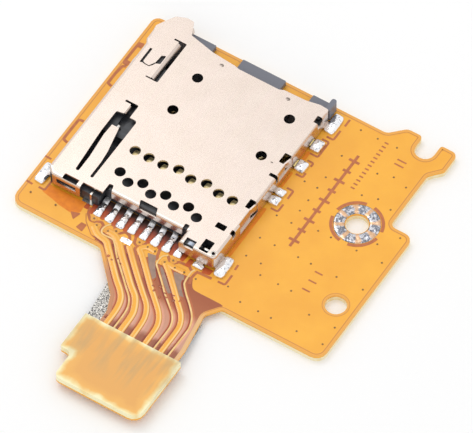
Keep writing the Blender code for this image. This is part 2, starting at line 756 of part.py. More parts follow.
def build_housing():
    """A moulded tray: front wall and block, thin floor, and lips that lead the card in."""
    housing = add_part("socket_housing", prism(housing_outline(), seat, housing_top), dark_plastic)
    past = 2.0 * mm
    bay = outline([
        (bay_left - past, block_back, 0.0),
        (deck_right + 0.10 * mm, block_back, 0.0),
        (deck_right + 0.10 * mm, stop_y, 0.0),
        (bay_right + past, stop_y, 0.0),
        (bay_right + past, entry_y + past, 0.0),
        (bay_left - past, entry_y + past, 0.0),
    ])
    lowered = box(
        bay_left - past, mid_start, block_front - past, block_back + past, block_height, housing_top + past)
    pivot = drum(pin_anchor_x, pin_anchor_y, wire / 2 + pin_play, slider_bottom, housing_top + past, 16)
    lobe_bay = box(
        shell_right - bar_window_left, shell_right - bar_window_right,
        front_right_y + sheet + 2 * housing_gap, front_right_y + bar_window_length,
        floor_height + 2 * housing_gap, housing_top + past)
    combine(housing, "DIFFERENCE", [prism(bay, floor_height, housing_top + past), lowered, pivot, lobe_bay])
    lips = []
    bay_width = bay_right - bay_left
    for start, stop in lip_shares:
        left = bay_left + bay_width * start
        right = bay_left + bay_width * stop
        loop = rectangle(left, right, entry_y - lip_inset, entry_y + lip_reach, lip_corner)
        lips.append(prism(loop, seat + running, rail_top - running))
    combine(housing, "UNION", lips)
    post_left = card_right + card_gap / 4
    post = prism(outline([
        (post_left, shell_back - 0.30 * mm, 0.0),
        (bay_right - 0.05 * mm, shell_back - 0.30 * mm, 0.0),
        (bay_right - 0.05 * mm, shell_back + 2 * housing_gap, 0.0),
        (shell_right - seat, shell_back + 2 * housing_gap, 0.0),
        (shell_right - seat, shell_back + 1.10 * mm, 0.15 * mm),
        (post_left, shell_back + 1.10 * mm, 0.15 * mm),
    ]), floor_height / 2, housing_top - 0.02 * mm)
    combine(housing, "UNION", [post])
    rails = []
    middle_x = (card_left + card_right) / 2
    for x in (card_left + card_shoulder + 1.20 * mm, middle_x, card_right - 2.10 * mm):
        rails.append(box(
            x - rail_width / 2, x + rail_width / 2, sight_y + 1.30 * mm, entry_y - 0.40 * mm,
            floor_height / 2, rail_top))
    combine(housing, "UNION", [merged(rails)])
    bridge = box(
        deck_right + 0.11 * mm, card_right, stop_y - front_wall / 2, bridge_y,
        floor_height / 2, rail_top - bridge_drop)
    combine(housing, "UNION", [bridge])
    across = Vector((1.0, 0.0, 0.0))
    channels = []
    windows = []
    slots = []
    for way in range(ways):
        path = contact_path(way)[2:6]
        path[0] = path[0] - Vector((0.0, 0.30 * mm, 0.0))
        channels.append(ribbon(path, contact_width + 2 * seat, strip + 2 * seat, across))
        point_x, point_y = sight_place(way)
        left = point_x - beam_window / 2
        right = point_x + beam_window / 2
        windows.append(box(left, right, bridge_y, point_y + 0.60 * mm, -seat, housing_top))
        slots.append(box(left, right, stop_y + 1.10 * mm, bridge_y + seat, -seat, rail_z))
    combine(housing, "DIFFERENCE", [merged(channels), merged(windows), merged(slots)])
    leg, arm = switch_blade_meshes(seat)
    half = contact_width / 2 + 0.06 * mm
    well = box(
        switch_x - half, switch_x + half,
        fixed_y - blade_tip - 0.15 * mm, blade_y + leg_width / 2 + 0.04 * mm,
        rail_z - strip / 2 - seat, housing_top)
    combine(housing, "DIFFERENCE", [leg, well, switch_fixed_mesh(seat)])
    peg = rod(
        [Vector((spring_x, block_back - 0.1 * mm, spring_z)),
         Vector((spring_x, block_back + spigot_length, spring_z))], spigot_radius)
    combine(housing, "UNION", [peg])


def slider_outline():
    hook_y = shoulder_y + 0.35 * hook_length
    side = card_left - 0.10 * mm
    nose = side + 0.20 * mm
    return outline([
        (deck_left, slider_front, 0.10 * mm),
        (deck_right, slider_front, 0.20 * mm),
        (deck_right, shoulder_y, 0.10 * mm),
        (side, shoulder_y, 0.0),
        (side, hook_y, 0.0),
        (nose, hook_y + 0.15 * mm, 0.05 * mm),
        (nose, hook_y + 0.45 * mm, 0.05 * mm),
        (side, hook_y + 0.70 * mm, 0.0),
        (side, slider_back, 0.20 * mm),
        (bay_left + running, slider_back, 0.20 * mm),
        (bay_left + running, spring_seat, 0.05 * mm),
        (deck_left, spring_seat, 0.05 * mm),
    ])


def ramp_x(y):
    """Middle of the insertion leg: it leads the tip to the left in step with the travel."""
    return tip_x - ramp_shift * (y - tip_y) / travel


def heart_groove():
    """The closed track of the cam pin: insertion leg, lock notch and return leg round a heart."""
    half = groove_width / 2
    low = tip_y - half - 0.03 * mm
    high = groove_end + half + 0.05 * mm
    return_x = tip_x + return_leg
    track = outline([
        (ramp_x(low) - half, low, 0.15 * mm),
        (tip_x + half + 0.02 * mm, low, 0.15 * mm),
        (tip_x + half + 0.05 * mm, tip_y + 0.50 * mm, 0.20 * mm),
        (return_x + half, tip_y + 1.40 * mm, 0.30 * mm),
        (return_x + half, groove_end - 0.40 * mm, 0.30 * mm),
        (tip_x + 0.20 * mm, high, 0.20 * mm),
        (ramp_x(high) - half, high, 0.15 * mm),
    ])
    island_low = tip_y + 1.20 * mm
    horn = tip_y + lock_travel + 0.10 * mm
    notch = tip_y + lock_travel - 0.25 * mm
    gap = half + 0.01 * mm
    island = outline([
        (ramp_x(island_low) + gap + 0.08 * mm, island_low, 0.04 * mm),
        (return_x - half, island_low + 0.50 * mm, 0.05 * mm),
        (return_x - half, horn - 0.10 * mm, 0.05 * mm),
        (return_x - half - 0.08 * mm, horn, 0.03 * mm),
        (tip_x + 0.08 * mm, notch, 0.08 * mm),
        (ramp_x(horn) + gap + 0.05 * mm, horn, 0.03 * mm),
        (ramp_x(horn) + gap, horn - 0.15 * mm, 0.05 * mm),
    ], 3)
    return prism(track, groove_floor, housing_top + 1.0 * mm, [island])


def build_slider():
    slider = add_part("slider", prism(slider_outline(), slider_bottom, housing_top), dark_plastic)
    past = 1.0 * mm
    raised_y = groove_end + groove_width / 2 + 0.40 * mm
    deck_cut = box(
        deck_left - past, deck_right + past, slider_front - past, spring_seat, deck_top, housing_top + past)
    back_cut = box(
        deck_left, deck_right + past, spring_seat - 0.10 * mm, raised_y, deck_top, housing_top + past)
    shelf_cut = box(
        card_left - 0.10 * mm, deck_right + past, raised_y - 0.10 * mm, slider_back + past,
        deck_top, housing_top + past)
    combine(slider, "DIFFERENCE", [deck_cut, back_cut, shelf_cut, heart_groove()])
    peg = rod(
        [Vector((spring_x, spring_seat + 0.1 * mm, spring_z)),
         Vector((spring_x, spring_seat - spigot_length, spring_z))], spigot_radius)
    combine(slider, "UNION", [peg])


def build_cam_pin():
    """A bent wire: one leg turns in the housing, the other runs in the slider's groove."""
    foot = slider_bottom + 0.06 * mm
    path = fillet([
        (Vector((pin_anchor_x, pin_anchor_y, foot)), 0.0),
        (Vector((pin_anchor_x, pin_anchor_y, pin_z)), 0.20 * mm),
        (Vector((tip_x, tip_y, pin_z)), 0.20 * mm),
        (Vector((tip_x, tip_y, groove_floor + 0.05 * mm)), 0.0),
    ], False, 5)
    add_part("cam_pin", rod(path, wire / 2, 2), steel, True)


def build_spring():
    """A compression spring with closed ends, between the front block and the slider's seat."""
    per_turn = 14
    dead = 1.0                       # closed turns at each end
    coil_radius = spring_outer / 2 - spring_wire / 2
    first = block_back + seat + spring_wire / 2
    last = spring_seat - seat - spring_wire / 2
    closed = dead * spring_wire * 1.05
    points = []
    for step in range(spring_turns * per_turn + 1):
        turn = step / per_turn
        angle = 2 * math.pi * turn
        if turn < dead:
            y = first + closed * turn / dead
        elif turn > spring_turns - dead:
            y = last - closed * (spring_turns - turn) / dead
        else:
            share = (turn - dead) / (spring_turns - 2 * dead)
            y = first + closed + (last - first - 2 * closed) * share
        points.append(Vector((
            spring_x + coil_radius * math.cos(angle), y, spring_z + coil_radius * math.sin(angle))))
    add_part("eject_spring", rod(points, spring_wire / 2, 1), steel, True)


def shell_outline():
    """The cover's outline from its front left corner round; a bent corner is sharp or wider than the bend."""
    ear_left = shell_left + ear_width
    ear_y = shell_back + ear_reach
    bend_end = shell_back - 0.60 * mm
    return outline([
        (shell_left, front_left_y + corner_cut, 0.0),
        (shell_left + corner_cut, front_left_y, 0.0),
        (left_lobe_end, front_left_y, 0.0),
        (left_lobe_end, front_open_y, 0.0),
        (mid_start, front_open_y, 0.0),
        (mid_start + 0.35 * mm, front_mid_y, 0.0),
        (right_lobe_start, front_mid_y, 0.0),
        (right_lobe_start, front_right_y, 0.0),
        (shell_right, front_right_y, 1.5 * bend_radius),
        (shell_right, bend_end, 0.0),
        (shell_right, shell_back, 0.15 * mm),
        (shell_right - 0.70 * mm, shell_back + 0.05 * mm, 0.10 * mm),
        (shell_right - 1.70 * mm, shell_back - 0.15 * mm, 0.0),
        (shell_right - 3.40 * mm, shell_back - 0.20 * mm, 0.10 * mm),
        (shell_right - 3.75 * mm, shell_back - 0.35 * mm, 0.10 * mm),
        (shell_left + 6.50 * mm, shell_back - 0.35 * mm, 0.10 * mm),
        (shell_left + 6.10 * mm, shell_back - 0.25 * mm, 0.10 * mm),
        (shell_left + 4.30 * mm, shell_back - 0.10 * mm, 0.0),
        (ear_left + 0.30 * mm, shell_back + 0.35 * mm, 0.15 * mm),
        (ear_left - 0.10 * mm, ear_y - 0.15 * mm, 0.10 * mm),
        (ear_left - 0.15 * mm, ear_y - 0.05 * mm, 0.05 * mm),
        (ear_left - 0.70 * mm, ear_y, 0.30 * mm),
        (shell_left + 0.55 * mm, ear_y - 0.30 * mm, 0.40 * mm),
        (shell_left, shell_back + 0.15 * mm, 0.30 * mm),
        (shell_left - flare, shell_back - 0.20 * mm, 0.15 * mm),
        (shell_left - flare, bend_end, 0.0),
        (shell_left - flare, shell_back - flare_length + 0.35 * mm, 0.0),
        (shell_left, shell_back - flare_length, 0.15 * mm),
    ])


def is_bent(here, after):
    """Whether the cover's edge between two outline points is folded down into a wall."""
    middle = (here + after) / 2
    at_back = middle.y > shell_back - 0.60 * mm
    in_gap = left_lobe_end - seat < middle.x < mid_start + seat and middle.y < front_open_y + seat
    return not (at_back or in_gap)


def drawn_in(loop, reach):
    """The outline with its bent edges moved inwards by reach and the others left in place."""
    count = len(loop)
    normals = []
    reaches = []
    for index, here in enumerate(loop):
        after = loop[(index + 1) % count]
        along = (after - here).normalized()
        normals.append(Vector((-along.y, along.x, 0.0)))
        reaches.append(reach if is_bent(here, after) else 0.0)
    points = []
    for index, here in enumerate(loop):
        first = normals[index - 1]
        second = normals[index]
        first_reach = reaches[index - 1]
        second_reach = reaches[index]
        turn = first.x * second.y - first.y * second.x
        if abs(turn) < 0.05:
            points.append(here + first * (first_reach + second_reach) / 2)
            continue
        x = (first_reach * second.y - second_reach * first.y) / turn
        y = (second_reach * first.x - first_reach * second.x) / turn
        points.append(here + Vector((x, y, 0.0)))
    return points


def folded_cover():
    """The cover as a block whose top edges are rounded to the bend radius."""
    loop = shell_outline()
    rings = [[Vector((point.x, point.y, wall_gap)) for point in loop]]
    steps = 3
    for step in range(steps + 1):
        angle = math.pi / 2 * step / steps
        level = shell_height - bend_radius * (1 - math.sin(angle))
        drawn = drawn_in(loop, bend_radius * (1 - math.cos(angle)))
        rings.append([Vector((point.x, point.y, level)) for point in drawn])
    mesh = loft(rings)
    shape = bmesh.new()
    shape.from_mesh(mesh)
    bmesh.ops.remove_doubles(shape, verts=shape.verts, dist=seat / 50)
    bmesh.ops.triangulate(shape, faces=shape.faces)
    shape.to_mesh(mesh)
    shape.free()
    return mesh


def shell_hollow():
    """What the cover's inside leaves free, open at the card entry."""
    past = 3.0 * mm
    left = shell_left + sheet
    right = shell_right - sheet
    return prism(outline([
        (left, front_left_y + sheet, 0.05 * mm),
        (left_lobe_end + 0.05 * mm, front_left_y + sheet, 0.0),
        (left_lobe_end + 0.05 * mm, front_left_y - past, 0.0),
        (mid_start - 0.10 * mm, front_left_y - past, 0.0),
        (mid_start - 0.10 * mm, front_mid_y + sheet, 0.0),
        (right_lobe_start + sheet, front_mid_y + sheet, 0.0),
        (right_lobe_start + sheet, front_right_y + sheet, 0.05 * mm),
        (right, front_right_y + sheet, 1.5 * bend_radius - sheet),
        (right, shell_back + past, 0.0),
        (left, shell_back + past, 0.0),
        (left, shell_back + 0.10 * mm, 0.0),
        (left - flare, shell_back - 0.25 * mm, 0.15 * mm),
        (left - flare, shell_back - flare_length + 0.40 * mm, 0.15 * mm),
        (left, shell_back - flare_length + 0.05 * mm, 0.15 * mm),
    ]), -past, shell_inner)


def corner_gap():
    """The front left corner has no wall: the front and left walls end beside it."""
    past = 1.0 * mm
    reach = corner_cut + 0.05 * mm
    return prism(outline([
        (shell_left - past, front_left_y - past, 0.0),
        (shell_left + reach, front_left_y - past, 0.0),
        (shell_left + reach, front_left_y + sheet + seat, 0.0),
        (shell_left + sheet + seat, front_left_y + reach, 0.0),
        (shell_left - past, front_left_y + reach, 0.0),
    ]), -past, shell_inner)


def through_top(loop):
    """A cutter that passes only through the cover's top."""
    return prism(loop, shell_inner - 0.25 * mm, shell_height + 0.5 * mm)


def placed(corners, x, y):
    """Outline of (across, along, radius) corners in millimetres, counted from the place (x, y)."""
    return outline([(x + across * mm, y + along * mm, radius * mm) for across, along, radius in corners])


def shell_sight_holes():
    """Round holes over the contact points, over the beams' roots and at the tooling points."""
    holes = [circle(*sight_place(way), hole_radius) for way in range(ways)]
    lower_y = sight_y - 2.0 * mm
    for number in range(ways):
        drop = 0.45 * mm if number % 2 else 0.0
        holes.append(circle(sight_first_x + 0.08 * mm + tail_pitch * number, lower_y - drop, hole_radius))
    left_x = sight_first_x + 0.32 * mm
    right_x = shell_right - 1.84 * mm
    for x, back in ((left_x, 2.45), (right_x, 2.05), (left_x, 5.55), (right_x, 5.60)):
        holes.append(circle(x, shell_back - back * mm, hole_radius))
    return [through_top(loop) for loop in holes]


def shell_fork():
    """The lanced tongue that presses on the cam pin: two tapering slits that join a stepped window."""
    root = front_open_y + 0.62 * mm - tip_y
    root = root / mm
    tip = -0.30
    step = 0.80
    top = 1.95
    return through_top(placed([
        (-0.45, root, 0.10), (-0.20, root, 0.10), (-0.20, root + 1.40, 0.0),
        (-0.38, tip - 1.00, 0.0), (-0.35, tip, 0.03), (0.20, tip, 0.03), (0.40, tip - 1.00, 0.0),
        (0.60, tip - 2.00, 0.30), (0.70, tip - 3.00, 0.0), (0.70, root, 0.10), (0.92, root, 0.10),
        (0.95, tip - 0.10, 0.05), (0.95, step, 0.20), (0.35, step, 0.05), (0.35, top, 0.12),
        (-0.65, top, 0.05), (-0.65, top - 0.17, 0.0), (-0.16, top - 0.17, 0.05),
        (-0.16, step + 0.10, 0.05), (-0.70, step, 0.12), (-0.70, tip - 0.80, 0.05),
        (-0.55, root + 1.40, 0.0),
    ], tip_x, tip_y))


def shell_springs():
    """Cuts over the slider: a C-shaped slot with its flap, and a tongue in a bent slit."""
    c_slot = placed([
        (1.50, -4.20, 0.0), (2.45, -4.20, 0.08), (2.45, -0.47, 0.08), (1.50, -0.47, 0.0),
        (1.50, -0.60, 0.0), (1.88, -0.60, 0.0), (1.88, -4.10, 0.0), (1.50, -4.10, 0.0),
    ], shell_left, shell_back)
    tongue = placed([
        (0.50, -3.37, 0.04), (0.72, -3.32, 0.0), (0.90, -3.365, 0.0), (1.24, -3.365, 0.05),
        (1.42, -3.13, 0.05), (1.50, -2.93, 0.0), (1.80, -2.80, 0.04), (1.80, -2.03, 0.04),
        (1.50, -2.15, 0.04), (1.45, -2.85, 0.0), (1.34, -3.05, 0.03), (1.20, -3.295, 0.05),
        (0.94, -3.295, 0.0), (0.74, -3.22, 0.0), (0.68, -3.15, 0.0), (0.68, -2.00, 0.04),
        (0.50, -2.00, 0.04),
    ], shell_left, shell_back)
    return [through_top(c_slot), through_top(tongue)]


def shell_side_windows():
    """Windows over the folded right side: three plain ones, and two that widen behind a spring tongue."""
    out = shell_right + 0.5 * mm
    high = shell_height + 0.5 * mm
    plain = [
        (0.38, shell_back - 1.40 * mm, shell_back - 0.80 * mm, 0.75),
        (0.58, shell_back - 6.70 * mm, shell_back - 6.44 * mm, 0.75),
        (0.25, front_right_y + 2.27 * mm, front_right_y + 2.65 * mm, 0.87),
    ]
    windows = [
        box(shell_right - left * mm, out, front, back, bottom * mm, high)
        for left, front, back, bottom in plain]
    stepped = [
        (0.12, sight_y - 1.42 * mm, 0.55, sight_y, sight_y + 0.76 * mm, 0.34),
        (0.10, shell_back - 6.33 * mm, 0.60, shell_back - 5.40 * mm, shell_back - 4.55 * mm, 0.60),
    ]
    for narrow, front, wide, step, back, bottom in stepped:
        left = shell_right - wide * mm
        inner = shell_right - narrow * mm
        loop = outline([
            (inner, front, 0.0), (out, front, 0.0), (out, back, 0.0), (left, back, 0.05 * mm),
            (left, step, 0.05 * mm), (inner, step, 0.0)])
        windows.append(prism(loop, bottom * mm, high))
    return windows


def shell_side_tongues():
    """Spring tongues lanced from the right wall, bent in beside the card."""
    tongues = []
    half = spring_strip / 2
    for y, length in ((sight_y + 0.90 * mm, 2.10 * mm), (shell_back - 4.45 * mm, 1.80 * mm)):
        wall = shell_right - sheet / 2
        middle = [
            Vector((wall, y + 0.20 * mm, 0.0)),
            Vector((wall - 0.02 * mm, y, 0.0)),
            Vector((wall - 0.20 * mm, y - 0.45 * length, 0.0)),
            Vector((wall - 0.22 * mm, y - 0.75 * length, 0.0)),
            Vector((wall - 0.12 * mm, y - length, 0.0)),
        ]
        side = Vector((half, 0.0, 0.0))
        loop = [point - side for point in middle] + [point + side for point in reversed(middle)]
        tongues.append(prism(loop, 0.50 * mm, shell_height - bend_radius - 0.05 * mm))
    return tongues


def shell_front_windows():
    """Windows in the two front lobes and over the middle of the front wall."""
    fold = shell_height + 0.5 * mm
    corner = shell_right - 0.30 * mm
    left_window = placed([
        (1.28, 0.06, 0.05), (2.40, 0.06, 0.05), (2.40, 0.48, 0.05), (1.28, 0.48, 0.05),
    ], shell_left, front_left_y)
    bar_window = rectangle(
        shell_right - bar_window_left, shell_right - bar_window_right,
        front_right_y + sheet, front_right_y + bar_window_length, 0.05 * mm)
    back_window = placed([
        (-1.40, 2.25, 0.06), (-0.65, 2.25, 0.06), (-0.65, 2.70, 0.06), (-1.40, 2.70, 0.06),
    ], shell_right, front_right_y)
    middle_x = (mid_start + right_lobe_start) / 2
    middle = placed([
        (-0.60, -0.05, 0.0), (0.75, -0.05, 0.0), (0.55, 0.50, 0.08), (-0.80, 0.50, 0.08),
    ], middle_x, front_mid_y)
    edge_window = box(
        shell_right - edge_window_left, shell_right - edge_window_right, front_right_y - 0.5 * mm,
        front_right_y + 0.57 * mm, shell_inner - 0.18 * mm, fold)
    corner_hole = circle(corner, front_right_y + 0.35 * mm, 0.13 * mm, 14)
    loops = [left_window, bar_window, back_window, middle, corner_hole]
    return [through_top(loop) for loop in loops] + [edge_window]


def shell_edge_slots():
    """Full-height slots that part the front wall from the two lobes."""
    slot_back = front_mid_y + 0.45 * mm
    left_slot = placed([
        (-0.12, -0.50, 0.0), (0.42, -0.50, 0.0), (0.42, 0.05, 0.0), (0.20, 0.85, 0.08), (-0.12, 0.85, 0.08),
    ], mid_start, front_open_y)
    right_slot = rectangle(
        right_lobe_start - 0.35 * mm, right_lobe_start - seat, front_mid_y - 0.35 * mm, slot_back, 0.08 * mm)
    high = shell_height + 0.5 * mm
    return [prism(left_slot, -1.0 * mm, high), prism(right_slot, -1.0 * mm, high)]


def foot_places():
    """Solder feet as name: (reach, foot's front and back, solder's front and back).

    A foot with a negative reach stands out to the left.
    """
    left = front_left_y
    right = front_right_y
    middle = sight_y + 2.25 * mm
    second = sight_y + 3.04 * mm
    back = shell_back
    out = foot_reach
    return {
        "front_left": (-out, left + 0.60 * mm, left + 1.25 * mm, left - 0.30 * mm, left + 1.38 * mm),
        "front_right": (out, right + 0.15 * mm, right + 1.25 * mm, right - 0.25 * mm, right + 1.38 * mm),
        "middle_right": (out, middle - 0.25 * mm, middle + 0.25 * mm, middle - 0.35 * mm, middle + 0.35 * mm),
        "second_right": (out, second - 0.20 * mm, second + 0.20 * mm, second - 0.28 * mm, second + 0.28 * mm),
        "back_right": (out, back - 0.70 * mm, back - 0.10 * mm, back - 0.80 * mm, back + 0.78 * mm),
        "back_left": (
            -hidden_reach, back - 3.20 * mm, back - 2.20 * mm, back - 3.30 * mm, back - 2.10 * mm),
    }


def foot_boxes():
    """The feet themselves, each from within its wall outwards along the board, and the one in front."""
    bottom = seat + foot_drop
    feet = []
    for reach, front, back, _, _ in foot_places().values():
        left = shell_left + reach if reach < 0.0 else shell_right - sheet / 2
        right = shell_left + sheet / 2 if reach < 0.0 else shell_right + reach
        feet.append(box(left, right, front, back, bottom, bottom + sheet))
    return feet


def front_foot():
    """The small foot of the right front lobe: a strip of its wall, turned out at the board."""
    left = shell_right - front_foot_left
    right = shell_right - front_foot_right
    wall = front_right_y + sheet / 2
    low = seat + foot_drop + sheet / 2
    path = [
        Vector((0.0, front_right_y - 0.32 * mm, low)),
        Vector((0.0, wall, low)),
        Vector((0.0, wall, lobe_wall_bottom + 0.15 * mm)),
    ]
    path = [point + Vector(((left + right) / 2, 0.0, 0.0)) for point in path]
    return ribbon(path, right - left, sheet, Vector((1.0, 0.0, 0.0)))


def build_shell():
    """The stamped cover: a folded block, hollowed, pierced, and given its solder feet."""
    shell = add_part("shell", folded_cover(), steel)
    past = 1.0 * mm
    combine(shell, "DIFFERENCE", [shell_hollow()])
    last_tail = tail_last_x + contact_width
    low_cuts = [
        box(mid_start, right_lobe_start - 0.02 * mm, front_mid_y - past, front_mid_y + sheet + seat,
            -past, mid_wall_bottom),
        box(right_lobe_start - 0.01 * mm, last_tail, front_right_y + sheet + 0.02 * mm,
            front_mid_y + sheet + seat, -past, mid_wall_bottom),
        box(shell_left + corner_cut + 0.06 * mm, left_lobe_end + past, front_left_y - past,
            front_left_y + sheet + seat, -past, lobe_wall_bottom),
        box(right_lobe_start + seat, shell_right + past, front_right_y - past, front_right_y + sheet + seat,
            -past, lobe_wall_bottom),
    ]
    for y in (blade_y, fixed_y):
        half = leg_width / 2 + 0.08 * mm
        low_cuts.append(box(
            shell_right - sheet - 0.1 * mm, shell_right + past, y - half, y + half, -past,
            floor_height + 0.02 * mm))
    wall_window = box(
        shell_left + 0.85 * mm, shell_left + 2.35 * mm, front_left_y - past, front_left_y + sheet + seat,
        0.61 * mm, 1.03 * mm)
    combine(shell, "DIFFERENCE", [corner_gap(), merged([*low_cuts, wall_window]), merged(shell_edge_slots())])
    openings = [*shell_sight_holes(), shell_fork(), *shell_springs(), *shell_front_windows()]
    combine(shell, "DIFFERENCE", [merged(openings), merged(shell_side_windows())])
    combine(shell, "UNION", [*foot_boxes(), front_foot(), *shell_side_tongues()])


def add_joint(name, room, foot, foot_bottom):
    """A solder mound in the room (left, right, front, back), with a pocket for the foot that it holds."""
    joint = add_part(name, mound(*room, seat, solder_height), tin)
    pocket = box(*foot, foot_bottom - seat, solder_height + 1.0 * mm)
    combine(joint, "DIFFERENCE", [pocket])


def build_solder():
    """Solder joints of the contact tails, of the shell's feet and of the switch legs."""
    past = 1.0 * mm
    half = contact_width / 2
    heel = front_mid_y - 0.28 * mm
    for way in range(ways):
        x = tail_first_x + tail_pitch * way
        room = (x - half - solder_margin / 2, x + half + solder_margin / 2, tail_tip_y - solder_margin, heel)
        foot = (x - half - seat, x + half + seat, tail_tip_y - seat, heel + past)
        add_joint(f"solder_tail_{way + 1}", room, foot, foot_z - strip / 2)
    bottom = seat + foot_drop
    margin = 2 * solder_margin
    places = foot_places()
    for name, y in (("blade", blade_y), ("fixed", fixed_y)):
        half = leg_width / 2
        places[name] = (foot_reach, y - half, y + half, y - half - margin, y + half + margin)
    for name, (reach, foot_front, foot_back, front, back) in places.items():
        if reach < 0.0:
            room = (shell_left + reach - margin / 2, shell_left - seat, front, back)
            foot = (shell_left + reach - seat, shell_left + past, foot_front - seat, foot_back + seat)
        else:
            room = (shell_right + seat, shell_right + reach + margin / 2, front, back)
            foot = (shell_right - past, shell_right + reach + seat, foot_front - seat, foot_back + seat)
        add_joint(f"solder_{name}", room, foot, bottom)
    left = shell_right - front_foot_left
    right = shell_right - front_foot_right
    front = front_right_y - 0.32 * mm
    room = (left - solder_margin, right + solder_margin, front - solder_margin, front_right_y - seat)
    add_joint("solder_front", room, (left - seat, right + seat, front - seat, front_right_y + past), bottom)


for leftover in list(bpy.data.objects):
    bpy.data.objects.remove(leftover, do_unlink=True)

parts = new_collection("card_socket")
guides = new_collection("cutting guides")
origin = bpy.data.objects.new("part_origin", None)
origin.location = (-centre_x, -centre_y, -base_z)
parts.objects.link(origin)

amber = make_finish("polyimide circuit", (0.92, 0.45, 0.09), 0.0, 0.35)
cream = make_finish("stiffener laminate", (0.90, 0.70, 0.36), 0.0, 0.45)
cloth_grey = make_finish("conductive cloth", (0.45, 0.45, 0.47), 0.6, 0.55)
tin = make_finish("solder tin", (0.82, 0.82, 0.84), 1.0, 0.30)
steel = make_finish("stainless steel", (0.86, 0.83, 0.80), 1.0, 0.30)
gilt = make_finish("gold plated copper alloy", (0.80, 0.62, 0.30), 1.0, 0.25)
dark_plastic = make_finish("black liquid crystal polymer", (0.03, 0.03, 0.035), 0.0, 0.45)
pale_plastic = make_finish("ivory liquid crystal polymer", (0.75, 0.70, 0.60), 0.0, 0.5)

build_board()
build_plug()
build_contacts()
build_housing()
build_slider()
build_cam_pin()
build_spring()
build_shell()
build_solder()
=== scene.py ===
import math

import bpy
import numpy as np
from mathutils import Matrix


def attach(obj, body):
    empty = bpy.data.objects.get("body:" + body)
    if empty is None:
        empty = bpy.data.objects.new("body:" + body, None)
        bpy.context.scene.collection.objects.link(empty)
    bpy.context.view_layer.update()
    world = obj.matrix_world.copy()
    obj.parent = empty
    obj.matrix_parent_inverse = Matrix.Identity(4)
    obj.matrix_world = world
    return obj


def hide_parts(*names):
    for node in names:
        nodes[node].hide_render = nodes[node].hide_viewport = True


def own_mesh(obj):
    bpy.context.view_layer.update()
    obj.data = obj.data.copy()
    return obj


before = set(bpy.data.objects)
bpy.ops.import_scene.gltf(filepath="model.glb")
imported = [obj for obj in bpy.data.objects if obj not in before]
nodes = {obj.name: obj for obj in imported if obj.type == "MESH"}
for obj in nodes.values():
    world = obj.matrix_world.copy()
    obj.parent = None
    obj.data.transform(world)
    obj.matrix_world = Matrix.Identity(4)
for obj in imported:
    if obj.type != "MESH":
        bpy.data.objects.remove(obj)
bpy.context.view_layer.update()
print("frame loaded:", len(nodes), "nodes")

# Places are in millimetres: x across the contacts, y towards the card entry, z = 0 on the board's top face.
shiftMm = np.array([-10.675, -2.22, 0.5])
underFilm = 0.002  # height of the underside of each flat piece on the film
landMiddle = (19.10, 8.65)
contactRow = {"ways": 8, "tailStart": 4.05, "tailPitch": 0.9, "pointStart": 3.92, "pointPitch": 1.095}
tailClimb = {"height": 0.15, "start": -2.9, "length": 4.0}


def toMetres(points):
    return (np.asarray(points, float) + shiftMm) * 0.001


def metresAlong(axis, placeMm):
    return (placeMm + float(shiftMm["XYZ".index(axis)])) / 1000


def toLinear(hexColour):
    # sRGB hex to linear: each channel is undone by the sRGB curve
    parts = np.array([int(hexColour[i:i + 2], 16) for i in (1, 3, 5)]) / 255
    linear = np.where(parts <= 0.04045, parts / 12.92, ((parts + 0.055) / 1.055) ** 2.4)
    return (*linear.tolist(), 1.0)


def addNode(tree, kind, settings=None):
    # one node; a setting that is a socket feeds the input of that name or number, any other is its value
    node = tree.nodes.new(kind)
    for key, value in (settings or {}).items():
        if isinstance(value, bpy.types.NodeSocket):
            tree.links.new(value, node.inputs[key])
        elif key == "stops":
            ramp = node.color_ramp
            while len(ramp.elements) < len(value):
                ramp.elements.new(0.5)
            for element, (place, colour) in zip(ramp.elements, value):
                element.position = place
                element.color = toLinear(colour) if isinstance(colour, str) else (colour, colour, colour, 1)
        elif isinstance(key, int) or key in node.inputs:
            node.inputs[key].default_value = value
        else:
            setattr(node, key, value)
    return node


def newMaterial(name, settings):
    material = bpy.data.materials.new(name)
    material.use_nodes = True
    shader = material.node_tree.nodes["Principled BSDF"]
    for key, value in settings.items():
        shader.inputs[key].default_value = toLinear(value) if isinstance(value, str) else value
    return material, material.node_tree


def objectPlace(tree, perMm=1.0):
    # Object coordinates scaled so that one unit of the pattern is 1 / perMm millimetres
    scales = perMm if isinstance(perMm, tuple) else (perMm, perMm, perMm)
    coordinates = addNode(tree, "ShaderNodeTexCoord")
    mapping = addNode(tree, "ShaderNodeMapping", {
        "Vector": coordinates.outputs["Object"], "Scale": [scale * 1000 for scale in scales]})
    return mapping.outputs["Vector"]


def axesOf(tree, kind="Object"):
    coordinates = addNode(tree, "ShaderNodeTexCoord")
    return addNode(tree, "ShaderNodeSeparateXYZ", {"Vector": coordinates.outputs[kind]}).outputs


def noiseOf(tree, scale, detail, perMm=1.0, roughness=0.5):
    return addNode(tree, "ShaderNodeTexNoise", {
        "Scale": scale, "Detail": detail, "Roughness": roughness, "Vector": objectPlace(tree, perMm)}).outputs


def rampOf(tree, value, stops):
    return addNode(tree, "ShaderNodeValToRGB", {"stops": stops, "Fac": value}).outputs["Color"]


def rangeOf(tree, value, given=(0.0, 1.0), wanted=(0.0, 1.0)):
    return addNode(tree, "ShaderNodeMapRange", {
        "From Min": given[0], "From Max": given[1], "To Min": wanted[0], "To Max": wanted[1],
        "Value": value}).outputs["Result"]


def fadeOf(tree, axis, startMm, endMm, low=0.0, high=1.0):
    # from low to high between two places along one axis of the object
    ends = metresAlong(axis, startMm), metresAlong(axis, endMm)
    return rangeOf(tree, axesOf(tree)[axis], ends, (low, high))


def mathOf(tree, operation, *inputs):
    settings = {"operation": operation, **dict(enumerate(inputs))}
    return addNode(tree, "ShaderNodeMath", settings).outputs["Value"]


